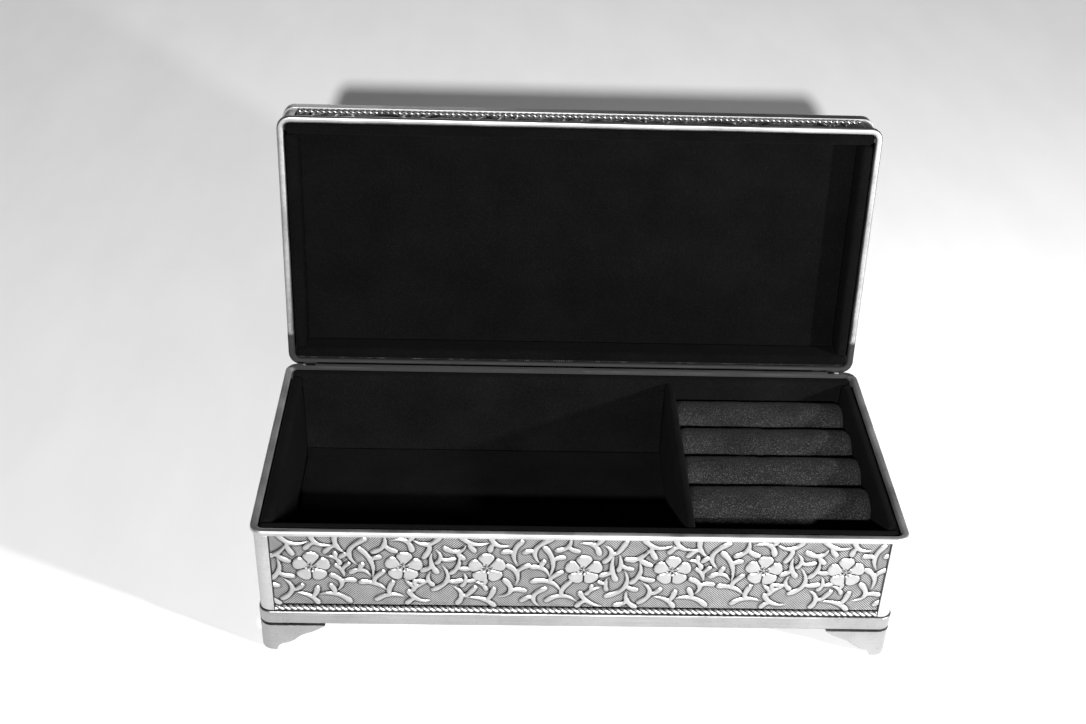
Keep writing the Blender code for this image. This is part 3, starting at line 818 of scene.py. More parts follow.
@dataclass
class Scrollwork:
    """A height map of five-petalled flowers among forked, curling leaves.

    Heights are over the plate's flat ground."""

    width: float
    height: float
    pitch: float
    flowers: Sequence[Flower] = ()
    flower_radius: float = 6.45 * MM
    petals: int = 5
    petal_rise: float = 0.80 * MM
    groove_width: float = 0.30 * MM
    beads: int = 9
    bead_radius: float = 0.50 * MM
    leaf_rise: float = 0.62 * MM
    leaves: Sequence[Leaf] = ()
    most_covered: float = 0.5
    x: np.ndarray = field(init=False)
    z: np.ndarray = field(init=False)
    rise: np.ndarray = field(init=False)

    def __post_init__(self) -> None:
        """Lays the flat ground, then the flowers, then the leaves that do not run into what is there."""
        self.x = np.linspace(-self.width / 2, self.width / 2, round(self.width / self.pitch) + 1)
        self.z = np.linspace(0, self.height, round(self.height / self.pitch) + 1)
        self.rise = np.zeros((len(self.z), len(self.x)))
        for x, z, turn in self.flowers:
            self.raise_flower(x, z, turn)
        for leaf in self.leaves:
            dots = leaf.dots()
            if self.share_covered(dots) < self.most_covered:
                for dot_x, dot_z, radius in dots:
                    crest = self.leaf_rise * min(1.0, (radius / (0.60 * MM)) ** 0.7)
                    self.raise_dot(dot_x, dot_z, radius, crest)

    def share_covered(self, dots: np.ndarray) -> float:
        """The share of a leaf's dots that lie on something raised already, or off the plate.

        Args:
            dots: One row for each dot: x, z and radius.

        Returns:
            The share, from 0 to 1.
        """
        step_x, step_z = self.x[1] - self.x[0], self.z[1] - self.z[0]
        columns = np.round((dots[:, 0] - self.x[0]) / step_x).astype(int)
        rows = np.round(dots[:, 1] / step_z).astype(int)
        inside = (columns >= 0) & (columns < len(self.x)) & (rows >= 0) & (rows < len(self.z))
        raised = self.rise[rows[inside], columns[inside]] > 0.1 * MM
        return 1 - (inside.sum() - raised.sum()) / len(dots)

    def window(self, x: float, z: float, reach: float) -> tuple[slice, slice]:
        """The rows and columns within reach of a point.

        Args:
            x: The point along the plate.
            z: The point up the plate.
            reach: How far the window goes on each side of it.

        Returns:
            The rows and the columns.
        """
        slices = []
        for line, middle in ((self.z, z), (self.x, x)):
            step = line[1] - line[0]
            first = int((middle - reach - line[0]) / step)
            last = int((middle + reach - line[0]) / step) + 2
            slices.append(slice(max(0, first), max(0, last)))
        return slices[0], slices[1]

    def lift(self, rows: slice, columns: slice, heights: np.ndarray) -> None:
        """Raises part of the map to at least these heights."""
        part = self.rise[rows, columns]
        np.maximum(part, heights, out=part)

    def raise_flower(self, x: float, z: float, turn: float) -> None:
        """Raises five cupped petals with grooves between them, and a ring of beads round a hollow.

        Args:
            x: The flower's middle along the plate.
            z: The flower's middle up the plate.
            turn: How far the flower is turned, in degrees.
        """
        rows, columns = self.window(x, z, self.flower_radius)
        across, up = self.x[columns][None, :] - x, self.z[rows][:, None] - z
        out = np.hypot(across, up)
        petal_turn = FULL_TURN / self.petals
        angle = (np.arctan2(across, up) - math.radians(turn)) % petal_turn
        from_middle = np.minimum(angle, petal_turn - angle)
        share = from_middle / (petal_turn / 2)
        edge = self.flower_radius * (1 - 0.30 * share**3.2)
        inside = np.clip(1 - (out / edge) ** 7, 0, 1) ** 0.45
        cup = 0.42 + 0.58 * np.clip(out / self.flower_radius, 0, 1) ** 0.9
        to_groove = (petal_turn / 2 - from_middle) * out
        groove = 1 - 0.95 * np.exp(-((to_groove / self.groove_width) ** 2))
        vein = 1 + 0.035 * np.cos(from_middle * 34)
        petals = self.petal_rise * inside * cup * groove * vein
        petals[out < 0.30 * self.flower_radius] *= 0.55
        self.lift(rows, columns, petals)
        ring = 0.30 * self.flower_radius
        for bead in range(self.beads):
            around = FULL_TURN * (bead + 0.3) / self.beads + math.radians(turn)
            bead_x = x + ring * math.sin(around)
            bead_z = z + ring * math.cos(around)
            self.raise_dot(bead_x, bead_z, self.bead_radius, self.petal_rise * 0.95)
        self.raise_dot(x, z, 0.45 * MM, self.petal_rise * 0.45)

    def raise_dot(self, x: float, z: float, radius: float, crest: float) -> None:
        """Raises a round-topped dot, which is also what a leaf is drawn with.

        Args:
            x: The dot's middle along the plate.
            z: The dot's middle up the plate.
            radius: The dot's radius.
            crest: Its height at the middle.
        """
        rows, columns = self.window(x, z, radius)
        squared = ((self.x[columns][None, :] - x) ** 2 + (self.z[rows][:, None] - z) ** 2) / radius**2
        self.lift(rows, columns, crest * np.clip(1 - squared, 0, 1) ** 0.55)

    def softened(self, reach: float) -> np.ndarray:
        """The map averaged over a square, twice.

        Args:
            reach: How far the square goes on each side of a point.

        Returns:
            The averaged heights.
        """
        cells = max(1, round(reach / self.pitch))
        soft = self.rise
        for axis in (0, 1, 0, 1):
            padded = np.concatenate([soft.take([0] * cells, axis), soft, soft.take([-1] * cells, axis)], axis)
            total = sum(np.roll(padded, shift, axis) for shift in range(-cells, cells + 1))
            inner = slice(cells, -cells)
            soft = (total[inner] if axis == 0 else total[:, inner]) / (2 * cells + 1)
        return soft

    def hollow(self) -> np.ndarray:
        """How deep each point lies below what is near it, from 0 to 1."""
        return np.clip((self.softened(0.5 * MM) - self.rise) / (0.20 * MM), 0, 1)


@dataclass
class ReliefPanel:
    """One pressed plate: scrollwork in front, plain sides and back."""

    node: str
    body: Body
    wall: Wall
    scroll: Maps
    faces_up: bool = False
    # Painted shade: how deep a hollow the plate's back counts as, so that the finish blackens it.
    back_hollow: float = 3.0

    def build(self, finishes: Finishes) -> bpy.types.Object:
        """Makes the plate in the place of its node.

        Args:
            finishes: The finishes.

        Returns:
            The plate.
        """
        matrix = making_frame(self.body, self.wall)
        if self.faces_up:
            matrix = matrix @ Matrix.Rotation(-math.pi / 2, 4, "X")
        low, high = box_in(matrix, self.node)
        scroll = self.scroll(high.x - low.x, high.z - low.z)
        middle = (low.x + high.x) / 2
        rows, columns = scroll.rise.shape
        across = np.broadcast_to(scroll.x[None, :] + middle, (rows, columns))
        up = np.broadcast_to(scroll.z[:, None] + low.z, (rows, columns))
        face = np.stack([across, low.y - scroll.rise, up], axis=-1).reshape(-1, 3)
        rim = self.border(rows, columns)
        behind = face[rim].copy()
        behind[:, 1] = high.y
        points = np.vstack([face, behind, [[middle, high.y, (low.z + high.z) / 2]]])
        start = rows * columns
        faces: list[tuple[int, ...]] = grid_faces(rows, columns)
        for place, point in enumerate(rim):
            after = (place + 1) % len(rim)
            faces.append((int(point), int(rim[after]), start + after, start + place))
            faces.append((start + place, start + after, len(points) - 1))
        mesh = mesh_from(f"{self.node}_relief", points, faces)
        self.store(mesh, scroll, rim, points)
        return set_piece(
            f"{self.node}_relief", mesh, matrix, self.body, finishes.relief, [self.node]
        )

    def border(self, rows: int, columns: int) -> list[int]:
        """The grid's outer points, once round.

        Args:
            rows: How many rows the grid has.
            columns: How many points a row has.

        Returns:
            The points' numbers.
        """
        first = list(range(columns))
        right = [row * columns + columns - 1 for row in range(1, rows)]
        last = [(rows - 1) * columns + column for column in range(columns - 2, -1, -1)]
        left = [row * columns for row in range(rows - 2, 0, -1)]
        return first + right + last + left

    def store(self, mesh: bpy.types.Mesh, scroll: Scrollwork, rim: list[int], points: np.ndarray) -> None:
        """Stores what the finish reads: the rise, the hollows and the flat place.

        The plate's back is painted black, as painted shade, by counting it as one deep hollow.

        Args:
            mesh: The plate's mesh.
            scroll: Its scrollwork.
            rim: The front's outer points, each of which has one behind it.
            points: Every point of the plate.
        """
        behind = np.zeros(len(rim) + 1)
        add_number(mesh, "rise", np.concatenate([scroll.rise.ravel() / scroll.petal_rise, behind]))
        # Painted shade on the back: its points are stored as one deep hollow.
        add_number(mesh, "hollow", np.concatenate([scroll.hollow().ravel(), behind + self.back_hollow]))
        add_place(mesh, "field", points)


@dataclass
class ReliefWork:
    """All the relief plates: four walls, four lid bands and the lid's top.

    The shifts of the strip, from wall to wall and from row to row, are millimetres."""

    wall_pitch: float = 0.27 * MM
    top_pitch: float = 0.42 * MM
    top_rows: int = 3
    wall_shift: float = 29.0
    row_shift: float = 17.0
    above_band: float = 20.5 * MM
    row_lift: float = 0.8 * MM

    def wall_scroll(self, phase: float) -> Maps:
        """What makes a wall plate's scrollwork.

        Args:
            phase: How far the strip is shifted, in millimetres.

        Returns:
            A function from the plate's width and height to its scrollwork.
        """

        def make(width: float, height: float) -> Scrollwork:
            """The wall's scrollwork at this size."""
            flowers, leaves = WALL_STRIP.laid(width, height, phase)
            return Scrollwork(width, height, self.wall_pitch, flowers, leaves=leaves, most_covered=1.1)

        return make

    def band_scroll(self, phase: float) -> Maps:
        """What makes a lid band's scrollwork, which is the strip's lower leaves alone.

        Args:
            phase: How far the strip is shifted, in millimetres.

        Returns:
            A function from the band's width and height to its scrollwork.
        """

        def make(width: float, height: float) -> Scrollwork:
            """The band's scrollwork at this size."""
            _, leaves = WALL_STRIP.laid(width, height + self.above_band, phase)
            return Scrollwork(width, height, self.wall_pitch, (), leaves=leaves)

        return make

    def top_scroll(self, width: float, height: float) -> Scrollwork:
        """The lid's top: strips one over another, each shifted along from the last.

        Args:
            width: The plate's width.
            height: The plate's height.

        Returns:
            The scrollwork.
        """
        flowers: list[Flower] = []
        leaves: list[Leaf] = []
        for row in range(self.top_rows):
            top_z = height * (row + 1) / self.top_rows + self.row_lift
            row_flowers, row_leaves = WALL_STRIP.laid(width, top_z, self.row_shift * row)
            flowers += row_flowers
            leaves += row_leaves
        return Scrollwork(width, height, self.top_pitch, flowers, leaves=leaves)

    def build(self, finishes: Finishes) -> None:
        """Makes every plate.

        Args:
            finishes: The finishes.
        """
        for place, wall in enumerate(Wall):
            phase = self.wall_shift * place
            ReliefPanel(f"{wall.word}_panel", Body.BOX, wall, self.wall_scroll(phase)).build(finishes)
            ReliefPanel(f"lid_band_{wall.word}", Body.LID, wall, self.band_scroll(phase)).build(finishes)
        ReliefPanel("lid_top_panel", Body.LID, Wall.FRONT, self.top_scroll, faces_up=True).build(finishes)


# ---------------------------------------------------------------- rope wires
@dataclass
class RopeWires:
    """Two-strand twisted wires under the wall plates and round the lid."""

    strand_pitch: float = 2.15 * MM
    strand_radius: float = 0.60 * MM
    steps_per_turn: int = 18
    points_round: int = 18

    def section(self, reach: float) -> np.ndarray:
        """Two round strands side by side, as one outline round the wire's middle.

        Args:
            reach: The wire's radius.

        Returns:
            The outline's points, with the radius of each.
        """
        apart = reach - self.strand_radius
        angles = np.linspace(0, FULL_TURN, self.points_round, endpoint=False)
        side = np.abs(np.cos(angles)) * apart
        under = np.clip(self.strand_radius**2 - (np.sin(angles) * apart) ** 2, 0, None)
        radius = side + np.sqrt(under)
        return np.stack([radius * np.cos(angles), radius * np.sin(angles), radius / reach], axis=1)

    def build_one(self, node: str, body: Body, wall: Wall, finishes: Finishes) -> None:
        """Makes one wire in the place of its node.

        Args:
            node: The wire's node.
            body: The body that it rides on.
            wall: The wall that it runs along.
            finishes: The finishes.
        """
        matrix = making_frame(body, wall)
        low, high = box_in(matrix, node)
        middle = (low + high) / 2
        reach = (high.z - low.z) / 2
        outline = self.section(reach)
        turns = (high.x - low.x) / (2 * self.strand_pitch)
        stations = int(turns * self.steps_per_turn)
        points, rises = [], []
        for station in range(stations + 1):
            share = station / stations
            angle = share * turns * FULL_TURN
            x = low.x + share * (high.x - low.x)
            y = outline[:, 0] * math.cos(angle) - outline[:, 1] * math.sin(angle)
            z = outline[:, 0] * math.sin(angle) + outline[:, 1] * math.cos(angle)
            points.append(np.stack([np.full(len(y), x), middle.y + y, middle.z + z], axis=1))
            rises.append(outline[:, 2])
        count = len(outline)
        faces: list[tuple[int, ...]] = grid_faces(stations + 1, count, closed=True)
        faces.append(tuple(range(count)))
        faces.append(tuple(stations * count + place for place in range(count)))
        mesh = mesh_from(f"{node}_twist", np.vstack(points), faces)
        lowest = float(outline[:, 2].min())
        add_number(mesh, "rise", (np.concatenate(rises) - lowest) / (1 - lowest))
        set_piece(f"{node}_twist", mesh, matrix, body, finishes.rope, [node])

    def build(self, finishes: Finishes) -> None:
        """Makes every wire."""
        for wall in Wall:
            self.build_one(f"rope_{wall.word}", Body.BOX, wall, finishes)
            self.build_one(f"lid_rope_{wall.word}", Body.LID, wall, finishes)


# ---------------------------------------------------------------- plain metal
@dataclass
class PlainMetal:
    """The cast and drawn metal that has no relief: rims, posts, plinth, feet, lid cover and hinges."""

    edge_rounding: float = 0.16 * MM
    weld_distance: float = 0.001 * MM
    flat_within: float = 0.4
    sharp_over: float = 33.0

    def build_one(
        self, node: str, made: str, body: Body, finish: bpy.types.Material, slot: str
    ) -> bpy.types.Object:
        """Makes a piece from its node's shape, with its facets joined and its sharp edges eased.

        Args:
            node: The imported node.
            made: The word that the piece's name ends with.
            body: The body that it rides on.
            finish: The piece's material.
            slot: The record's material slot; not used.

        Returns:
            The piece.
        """
        packed = frame["nodes"][node].data
        points = np.array([v.co for v in packed.vertices])
        mesh = mesh_from(f"{node}_{made}", points, [tuple(p.vertices) for p in packed.polygons])
        work = bmesh.new()
        work.from_mesh(mesh)
        bmesh.ops.remove_doubles(work, verts=work.verts, dist=self.weld_distance)
        flat = math.radians(self.flat_within)
        bmesh.ops.dissolve_limit(work, angle_limit=flat, verts=work.verts, edges=work.edges)
        work.to_mesh(mesh)
        work.free()
        face_out(mesh)
        mesh.shade_smooth()
        piece = set_piece(f"{node}_{made}", mesh, Matrix(), body, finish, [node])
        ease = piece.modifiers.new("eased_edges", "BEVEL")
        ease.width = self.edge_rounding
        ease.segments = 3
        ease.limit_method = "ANGLE"
        ease.angle_limit = math.radians(self.sharp_over)
        level = piece.modifiers.new("level_faces", "WEIGHTED_NORMAL")
        level.keep_sharp = True
        return piece

    def build(self, finishes: Finishes) -> None:
        """Makes every plain metal piece.

        Args:
            finishes: The finishes.
        """
        # The lid's pieces take the darker copy of the bright silver, which is painted shade.
        bright, lid = finishes.bright, finishes.bright_lid
        self.build_one("top_rim", "moulding", Body.BOX, finishes.rim, "bright_silver")
        self.build_one("lid_rim", "moulding", Body.LID, lid, "bright_silver")
        self.build_one("lid_cover", "casting", Body.LID, lid, "bright_silver")
        self.build_one("plinth", "moulding", Body.BOX, finishes.satin, "satin_silver")
        self.build_one("base_plate", "sheet", Body.BOX, finishes.satin, "satin_silver")
        for corner in Corner:
            self.build_one(f"corner_post_{corner.value}", "casting", Body.BOX, bright, "bright_silver")
            self.build_one(f"lid_post_{corner.value}", "casting", Body.LID, lid, "bright_silver")
            self.build_one(f"foot_{corner.value}", "casting", Body.BOX, finishes.satin, "satin_silver")
        for side in ("left", "right"):
            self.build_one(f"hinge_block_{side}", "casting", Body.BOX, finishes.satin, "satin_silver")
            self.build_one(f"hinge_pin_{side}", "wire", Body.BOX, finishes.steel, "hinge_steel")
            self.build_one(f"lid_lug_{side}", "casting", Body.LID, lid, "bright_silver")
        self.build_one("ring_tray", "card", Body.BOX, finishes.card, "black_card")


# ---------------------------------------------------------------- padded pieces
@dataclass(frozen=True)
class Swell:
    """How far one side of a padded piece stands out at its middle."""

    axis: int
    sign: int
    height: float


def rounded_block(
    low: Vector, high: Vector, rounding: float, cell: float
) -> tuple[np.ndarray, list[list[int]]]:
    """A closed block with round edges, in cells that are finer where it curves.

    Args:
        low: The lowest corner.
        high: The highest corner.
        rounding: The edges' radius.
        cell: The cells' size on the flats.

    Returns:
        The points and the faces' corners.
    """
    lines = []
    for axis in range(3):
        near = rounding * np.array([0, 0.22, 0.5, 0.78, 1.0])
        span = high[axis] - low[axis]
        count = max(1, round((span - 2 * rounding) / cell))
        flat = np.linspace(rounding, span - rounding, count + 1)
        lines.append(low[axis] + np.concatenate([near, flat[1:-1], span - near[::-1]]))
    numbers: dict[tuple[int, int, int], int] = {}
    points: list[tuple[float, float, float]] = []
    faces: list[list[int]] = []

    def number(place: tuple[int, int, int]) -> int:
        """The number of the point at a place in the lattice, which is made if it is new.

        Args:
            place: The place, as a step along each axis.

        Returns:
            The point's number.
        """
        if place not in numbers:
            numbers[place] = len(points)
            points.append(tuple(lines[axis][place[axis]] for axis in range(3)))
        return numbers[place]

    for axis in range(3):
        one, two = (axis + 1) % 3, (axis + 2) % 3
        for end in (0, len(lines[axis]) - 1):
            for i in range(len(lines[one]) - 1):
                for j in range(len(lines[two]) - 1):
                    corners = []
                    for step_i, step_j in ((0, 0), (1, 0), (1, 1), (0, 1)):
                        place = [0, 0, 0]
                        place[axis], place[one], place[two] = end, i + step_i, j + step_j
                        corners.append(number(tuple(place)))
                    faces.append(corners)
    flat_points = np.array(points)
    core = np.clip(flat_points, np.array(low) + rounding, np.array(high) - rounding)
    out = flat_points - core
    length = np.linalg.norm(out, axis=1, keepdims=True)
    return core + out / np.maximum(length, 1e-12) * rounding, faces


def smooth_noise(points: np.ndarray, size: float, seed: int) -> np.ndarray:
    """Gentle noise from about -1 to 1 at points, from three layers of crossed waves.

    Args:
        points: The points.
        size: The bumps' size.
        seed: The number that picks the waves.

    Returns:
        One number for each point.
    """
    chance = np.random.default_rng(seed)
    total = np.zeros(len(points))
    for _ in range(9):
        way = chance.normal(size=3)
        way *= FULL_TURN / (size * chance.uniform(0.7, 1.8)) / np.linalg.norm(way)
        total += np.sin(points @ way + chance.uniform(0, FULL_TURN))
    return total / 4.5


@dataclass
class Stuffing:
    """Cloth drawn over foam: the cover is let out, filled, and comes to rest in its own folds."""

    pressure: float
    spare_cloth: float
    most_moved: float
    frames: int = 14
    bench_scale: float = 20.0
    stretch_stiffness: float = 25.0
    shear_stiffness: float = 12.0
    bending_stiffness: float = 0.6
    cloth_mass: float = 0.25

    def settle(self, mesh: bpy.types.Mesh, glued: np.ndarray) -> None:
        """Lets a mesh's cover settle, and keeps the result in the mesh.

        Args:
            mesh: The padded piece, in its making position.
            glued: True for each point that is held to the card.
        """
        start = np.array([v.co for v in mesh.vertices])
        bench_mesh = mesh.copy()
        bench_mesh.transform(Matrix.Scale(self.bench_scale, 4))
        bench = bpy.data.objects.new("bench", bench_mesh)
        bpy.context.scene.collection.objects.link(bench)
        held = bench.vertex_groups.new(name="glued")
        held.add(np.flatnonzero(glued).tolist(), 1.0, "REPLACE")
        cloth = bench.modifiers.new("cover", "CLOTH")
        cover = cloth.settings
        cover.quality = 5
        cover.mass = self.cloth_mass
        cover.tension_stiffness = self.stretch_stiffness
        cover.compression_stiffness = self.stretch_stiffness
        cover.shear_stiffness = self.shear_stiffness
        cover.bending_stiffness = self.bending_stiffness
        cover.use_pressure = True
        cover.uniform_pressure_force = self.pressure
        cover.shrink_min = -self.spare_cloth
        cover.vertex_group_mass = held.name
        cover.effector_weights.gravity = 0.0
        for number in range(1, self.frames + 1):
            bpy.context.scene.frame_set(number)
        graph = bpy.context.evaluated_depsgraph_get()
        settled = np.array([v.co for v in bench.evaluated_get(graph).data.vertices]) / self.bench_scale
        moved = settled - start
        length = np.linalg.norm(moved, axis=1, keepdims=True)
        moved *= np.minimum(1.0, self.most_moved / np.maximum(length, 1e-9))
        mesh.vertices.foreach_set("co", (start + moved).ravel())
        mesh.update()
        bpy.data.objects.remove(bench)
        bpy.data.meshes.remove(bench_mesh)
        bpy.context.scene.frame_set(1)


@dataclass
class PaddedBoard:
    """A padded board or cushion, wrapped in velvet, that fills its node's space."""

    node: str
    name: str
    body: Body
    wall: Wall
    rounding: float
    swells: Sequence[Swell]
    cell: float = 1.7 * MM
    welt_at: float | None = None
    welt_width: float = 0.45 * MM
    welt_height: float = 0.35 * MM
    ripple: float = 0.05 * MM
    ripple_size: float = 14 * MM
    clearance: float = 0.05 * MM
    fill: float = 0.8
    stuffing: Stuffing | None = None
    glued_side: Swell = Swell(1, -1, 0.0)

    def build(self, finish: bpy.types.Material, slot: str) -> bpy.types.Object:
        """Makes the piece in the place of its node.

        Args:
            finish: The cover's material.
            slot: The record's material slot; not used.

        Returns:
            The piece.
        """
        matrix = making_frame(self.body, self.wall)
        low, high = box_in(matrix, self.node)
        inset = Vector((1, 1, 1)) * self.clearance
        points, faces = rounded_block(low + inset, high - inset, self.rounding, self.cell)
        points = self.swollen(points, low, high)
        mesh = mesh_from(self.name, points, faces)
        if self.stuffing is not None:
            side = self.glued_side
            edge = high[side.axis] if side.sign > 0 else low[side.axis]
            now = np.array([v.co for v in mesh.vertices])
            glued = np.abs(now[:, side.axis] - edge) < 0.6 * self.rounding
            self.stuffing.settle(mesh, glued)
        piece = set_piece(self.name, mesh, matrix, self.body, finish, [self.node])
        return piece

    def swollen(self, points: np.ndarray, low: Vector, high: Vector) -> np.ndarray:
        """The block's points with its sides crowned, rippled and welted.

        Args:
            points: The block's points.
            low: The space's lowest corner.
            high: The space's highest corner.

        Returns:
            The moved points.
        """
        share = (points - np.array(low)) / (np.array(high) - np.array(low))
        moved = points.copy()
        for swell in self.swells:
            one, two = (swell.axis + 1) % 3, (swell.axis + 2) % 3
            dome = (1 - (2 * share[:, one] - 1) ** 8) * (1 - (2 * share[:, two] - 1) ** 6)
            side = share[:, swell.axis] if swell.sign > 0 else 1 - share[:, swell.axis]
            near = np.clip((side - 0.5) * 2, 0, 1)
            ripples = self.ripple * smooth_noise(points, self.ripple_size, len(self.node))
            moved[:, swell.axis] += swell.sign * near * np.clip(dome, 0, 1) * (swell.height + ripples)
            if self.welt_at is not None:
                across = (points[:, 0] - self.welt_at) / self.welt_width
                moved[:, swell.axis] += swell.sign * near * self.welt_height * np.exp(-(across**2))
        return moved


@dataclass
class Lining:
    """The velvet lining of the box: four wall boards, a floor cushion and the divider."""

    board_rounding: float = 1.6 * MM
    board_crown: float = 0.35 * MM
    welt_place: float = 90.0 * MM

    def build(self, finishes: Finishes) -> None:
        """Makes every piece of the lining.

        Args:
            finishes: The finishes.
        """
        velvet = finishes.velvet
        for wall in Wall:
            swells = [Swell(1, 1, self.board_crown)]
            welt = self.welt_place if wall is Wall.BACK else None
            node = f"lining_{wall.word}"
            name = f"{node}_board"
            board = PaddedBoard(node, name, Body.BOX, wall, self.board_rounding, swells, welt_at=welt)
            board.build(velvet, "black_velvet")
        cushion = PaddedBoard(
            "floor_pad",
            "floor_cushion",
            Body.BOX,
            Wall.FRONT,
            1.5 * MM,
            [Swell(2, 1, 0.25 * MM)],
            cell=2.4 * MM,
            stuffing=Stuffing(pressure=1.5, spare_cloth=0.004, most_moved=0.35 * MM),
            glued_side=Swell(2, -1, 0.0),
        )
        cushion.build(velvet, "black_velvet")
        sides = [Swell(0, 1, 0.15 * MM), Swell(0, -1, 0.55 * MM)]
        divider = PaddedBoard("divider", "divider_board", Body.BOX, Wall.FRONT, 1.4 * MM, sides)
        divider.build(velvet, "black_velvet")


@dataclass
class LidLining:
    """The lid's velvet: a pad over its whole inside, and four boards round it."""

    def build(self, finishes: Finishes) -> None:
        """Makes the pad and the boards.

        Args:
            finishes: The finishes.
        """
        pad = PaddedBoard(
            "lid_pad",
            "lid_cushion",
            Body.LID,
            Wall.FRONT,
            1.4 * MM,
            [Swell(2, -1, 0.15 * MM)],
            cell=2.4 * MM,
            stuffing=Stuffing(pressure=1.5, spare_cloth=0.004, most_moved=0.30 * MM),
            glued_side=Swell(2, 1, 0.0),
        )
        pad.build(finishes.lid_velvet, "black_velvet")
        for wall in Wall:
            node = f"lid_lining_{wall.word}"
            swells = [Swell(1, 1, 0.25 * MM)]
            board = PaddedBoard(node, f"{node}_board", Body.LID, wall, 1.5 * MM, swells)
            board.build(finishes.lid_velvet, "black_velvet")


@dataclass
class RingRolls:
    """Four foam rolls in velour, side by side: a ring's band goes down the slot between two of them."""

    count: int = 4
    end_rounding: float = 1.8 * MM
    foot_rounding: float = 1.6 * MM
    points_round: int = 44
    station_gap: float = 1.1 * MM
    clearance: float = 0.15 * MM
    glued_height: float = 1.2 * MM
    fill: float = 0.75

    def outline(self, width: float, height: float) -> np.ndarray:
        """A roll's section, round on top and flat below with round lower edges.

        Args:
            width: The roll's width.
            height: The roll's height.

        Returns:
            Points about the middle of the underside, going once round.
        """
        crown, foot = width / 2, self.foot_rounding
        top = np.linspace(0, math.pi, self.points_round // 2)
        crown_points = np.stack([crown * np.cos(top), height - crown + crown * np.sin(top)], 1)
        turn = np.linspace(math.pi, 1.5 * math.pi, 6)
        left_foot = np.stack([-crown + foot + foot * np.cos(turn), foot + foot * np.sin(turn)], 1)
        side = np.linspace(height - crown, foot, 6)[1:-1]
        left_side = np.stack([np.full(len(side), -crown), side], 1)
        bottom = np.linspace(-crown + foot, crown - foot, 8)[1:-1]
        under = np.stack([bottom, np.zeros(len(bottom))], 1)
        right_foot = left_foot[::-1] * np.array([-1, 1])
        right_side = left_side[::-1] * np.array([-1, 1])
        return np.vstack([crown_points, left_side, left_foot, under, right_foot, right_side])

    def build_one(self, number: int, finishes: Finishes) -> None:
        """Makes one roll in the place of its node.

        Args:
            number: The roll's number, from the back.
            finishes: The finishes.
        """
        node = f"ring_roll_{number}"
        matrix = making_frame(Body.BOX)
        low, high = box_in(matrix, node)
        inset = self.clearance
        width, height = high.y - low.y - 2 * inset, high.z - low.z - 2 * inset
        section = self.outline(width, height)
        middle = np.array([0.0, height / 2])
        near = self.end_rounding * (1 - np.cos(np.linspace(0, math.pi / 2, 6)))
        span = high.x - low.x - 2 * inset
        flat = np.linspace(self.end_rounding, span - self.end_rounding, round(span / self.station_gap))
        stations = np.concatenate([near[:-1], flat, span - near[:-1][::-1]])
        rows = []
        for place in stations:
            to_end = min(place, span - place, self.end_rounding)
            short = self.end_rounding - math.sqrt(self.end_rounding**2 - (self.end_rounding - to_end) ** 2)
            shrink = 1 - 2 * np.array([short / width, short / height])
            ring = (section - middle) * shrink + middle
            x = np.full(len(ring), low.x + inset + place)
            rows.append(np.stack([x, (low.y + high.y) / 2 + ring[:, 0], low.z + inset + ring[:, 1]], 1))
        count = len(section)
        faces: list[tuple[int, ...]] = grid_faces(len(rows), count, closed=True)
        faces.append(tuple(range(count)))
        faces.append(tuple((len(rows) - 1) * count + place for place in range(count)))
        points = self.creased(np.vstack(rows), low, high, number)
        mesh = mesh_from(f"{node}_cushion", points, faces)
        now = np.array([v.co for v in mesh.vertices])
        glued = now[:, 2] < low.z + self.glued_height
        Stuffing(pressure=2.0, spare_cloth=0.03, most_moved=0.35 * MM).settle(mesh, glued)
        piece = set_piece(f"{node}_cushion", mesh, matrix, Body.BOX, finishes.velour, [node])

    def creased(self, points: np.ndarray, low: Vector, high: Vector, number: int) -> np.ndarray:
        """The roll's points with the soft dents of its cover, deepest on the last roll's free front.

        Args:
            points: The roll's points.
            low: The roll's lowest corner.
            high: The roll's highest corner.
            number: The roll's number, from the back.

        Returns:
            The moved points.
        """
        moved = points.copy()
        long_wave = smooth_noise(points * np.array([1.0, 0.3, 0.3]), 16 * MM, number)
        short_wave = smooth_noise(points * np.array([1.0, 0.5, 0.8]), 5.5 * MM, 40 + number)
        up = (points[:, 2] - low.z) / (high.z - low.z)
        moved[:, 2] -= np.clip(up, 0, 1) * MM * (0.22 + 0.20 * long_wave)
        moved[:, 1] += 0.10 * MM * long_wave
        if number == self.count:
            on_front = np.clip(((low.y + high.y) / 2 - points[:, 1]) / (high.y - low.y) * 2, 0, 1)
            slack = on_front**1.5 * np.clip(1.15 - up, 0, 1)
            moved[:, 1] += slack * MM * (0.7 + 0.9 * short_wave)
            moved[:, 2] += slack * MM * 0.5 * short_wave
        return moved

    def build(self, finishes: Finishes) -> None:
        """Makes every roll."""
        for number in range(1, self.count + 1):
            self.build_one(number, finishes)


@dataclass
class BaseCover:
    """The thin felt glued under the base plate."""

    rounding: float = 0.28 * MM
    cell: float = 3.5 * MM
    wave_height: float = 0.05 * MM
    wave_size: float = 22 * MM

    def build(self, finishes: Finishes) -> None:
        """Makes the felt, with slight waves in its free side.

        Args:
            finishes: The finishes.
        """
        matrix = making_frame(Body.BOX)
        low, high = box_in(matrix, "base_felt")
        points, faces = rounded_block(low, high, self.rounding, self.cell)
        waves = self.wave_height * smooth_noise(points, self.wave_size, 5)
        points[:, 2] += np.where(points[:, 2] < (low.z + high.z) / 2, waves, 0)
        name = "base_felt_sheet"
        mesh = mesh_from(name, points, faces)
        piece = set_piece(name, mesh, matrix, Body.BOX, finishes.felt, ["base_felt"])


# ---------------------------------------------------------------- studio
@dataclass(frozen=True)
class Lamp:
    """One lamp: where it hangs and what it points at, its width in metres and its power in watts.

    An even lamp lights near and far alike, as one with a collimating lens does."""

    name: str
    place: tuple[float, float, float]
    aim: tuple[float, float, float]
    width: float
    watts: float
    even: bool = False


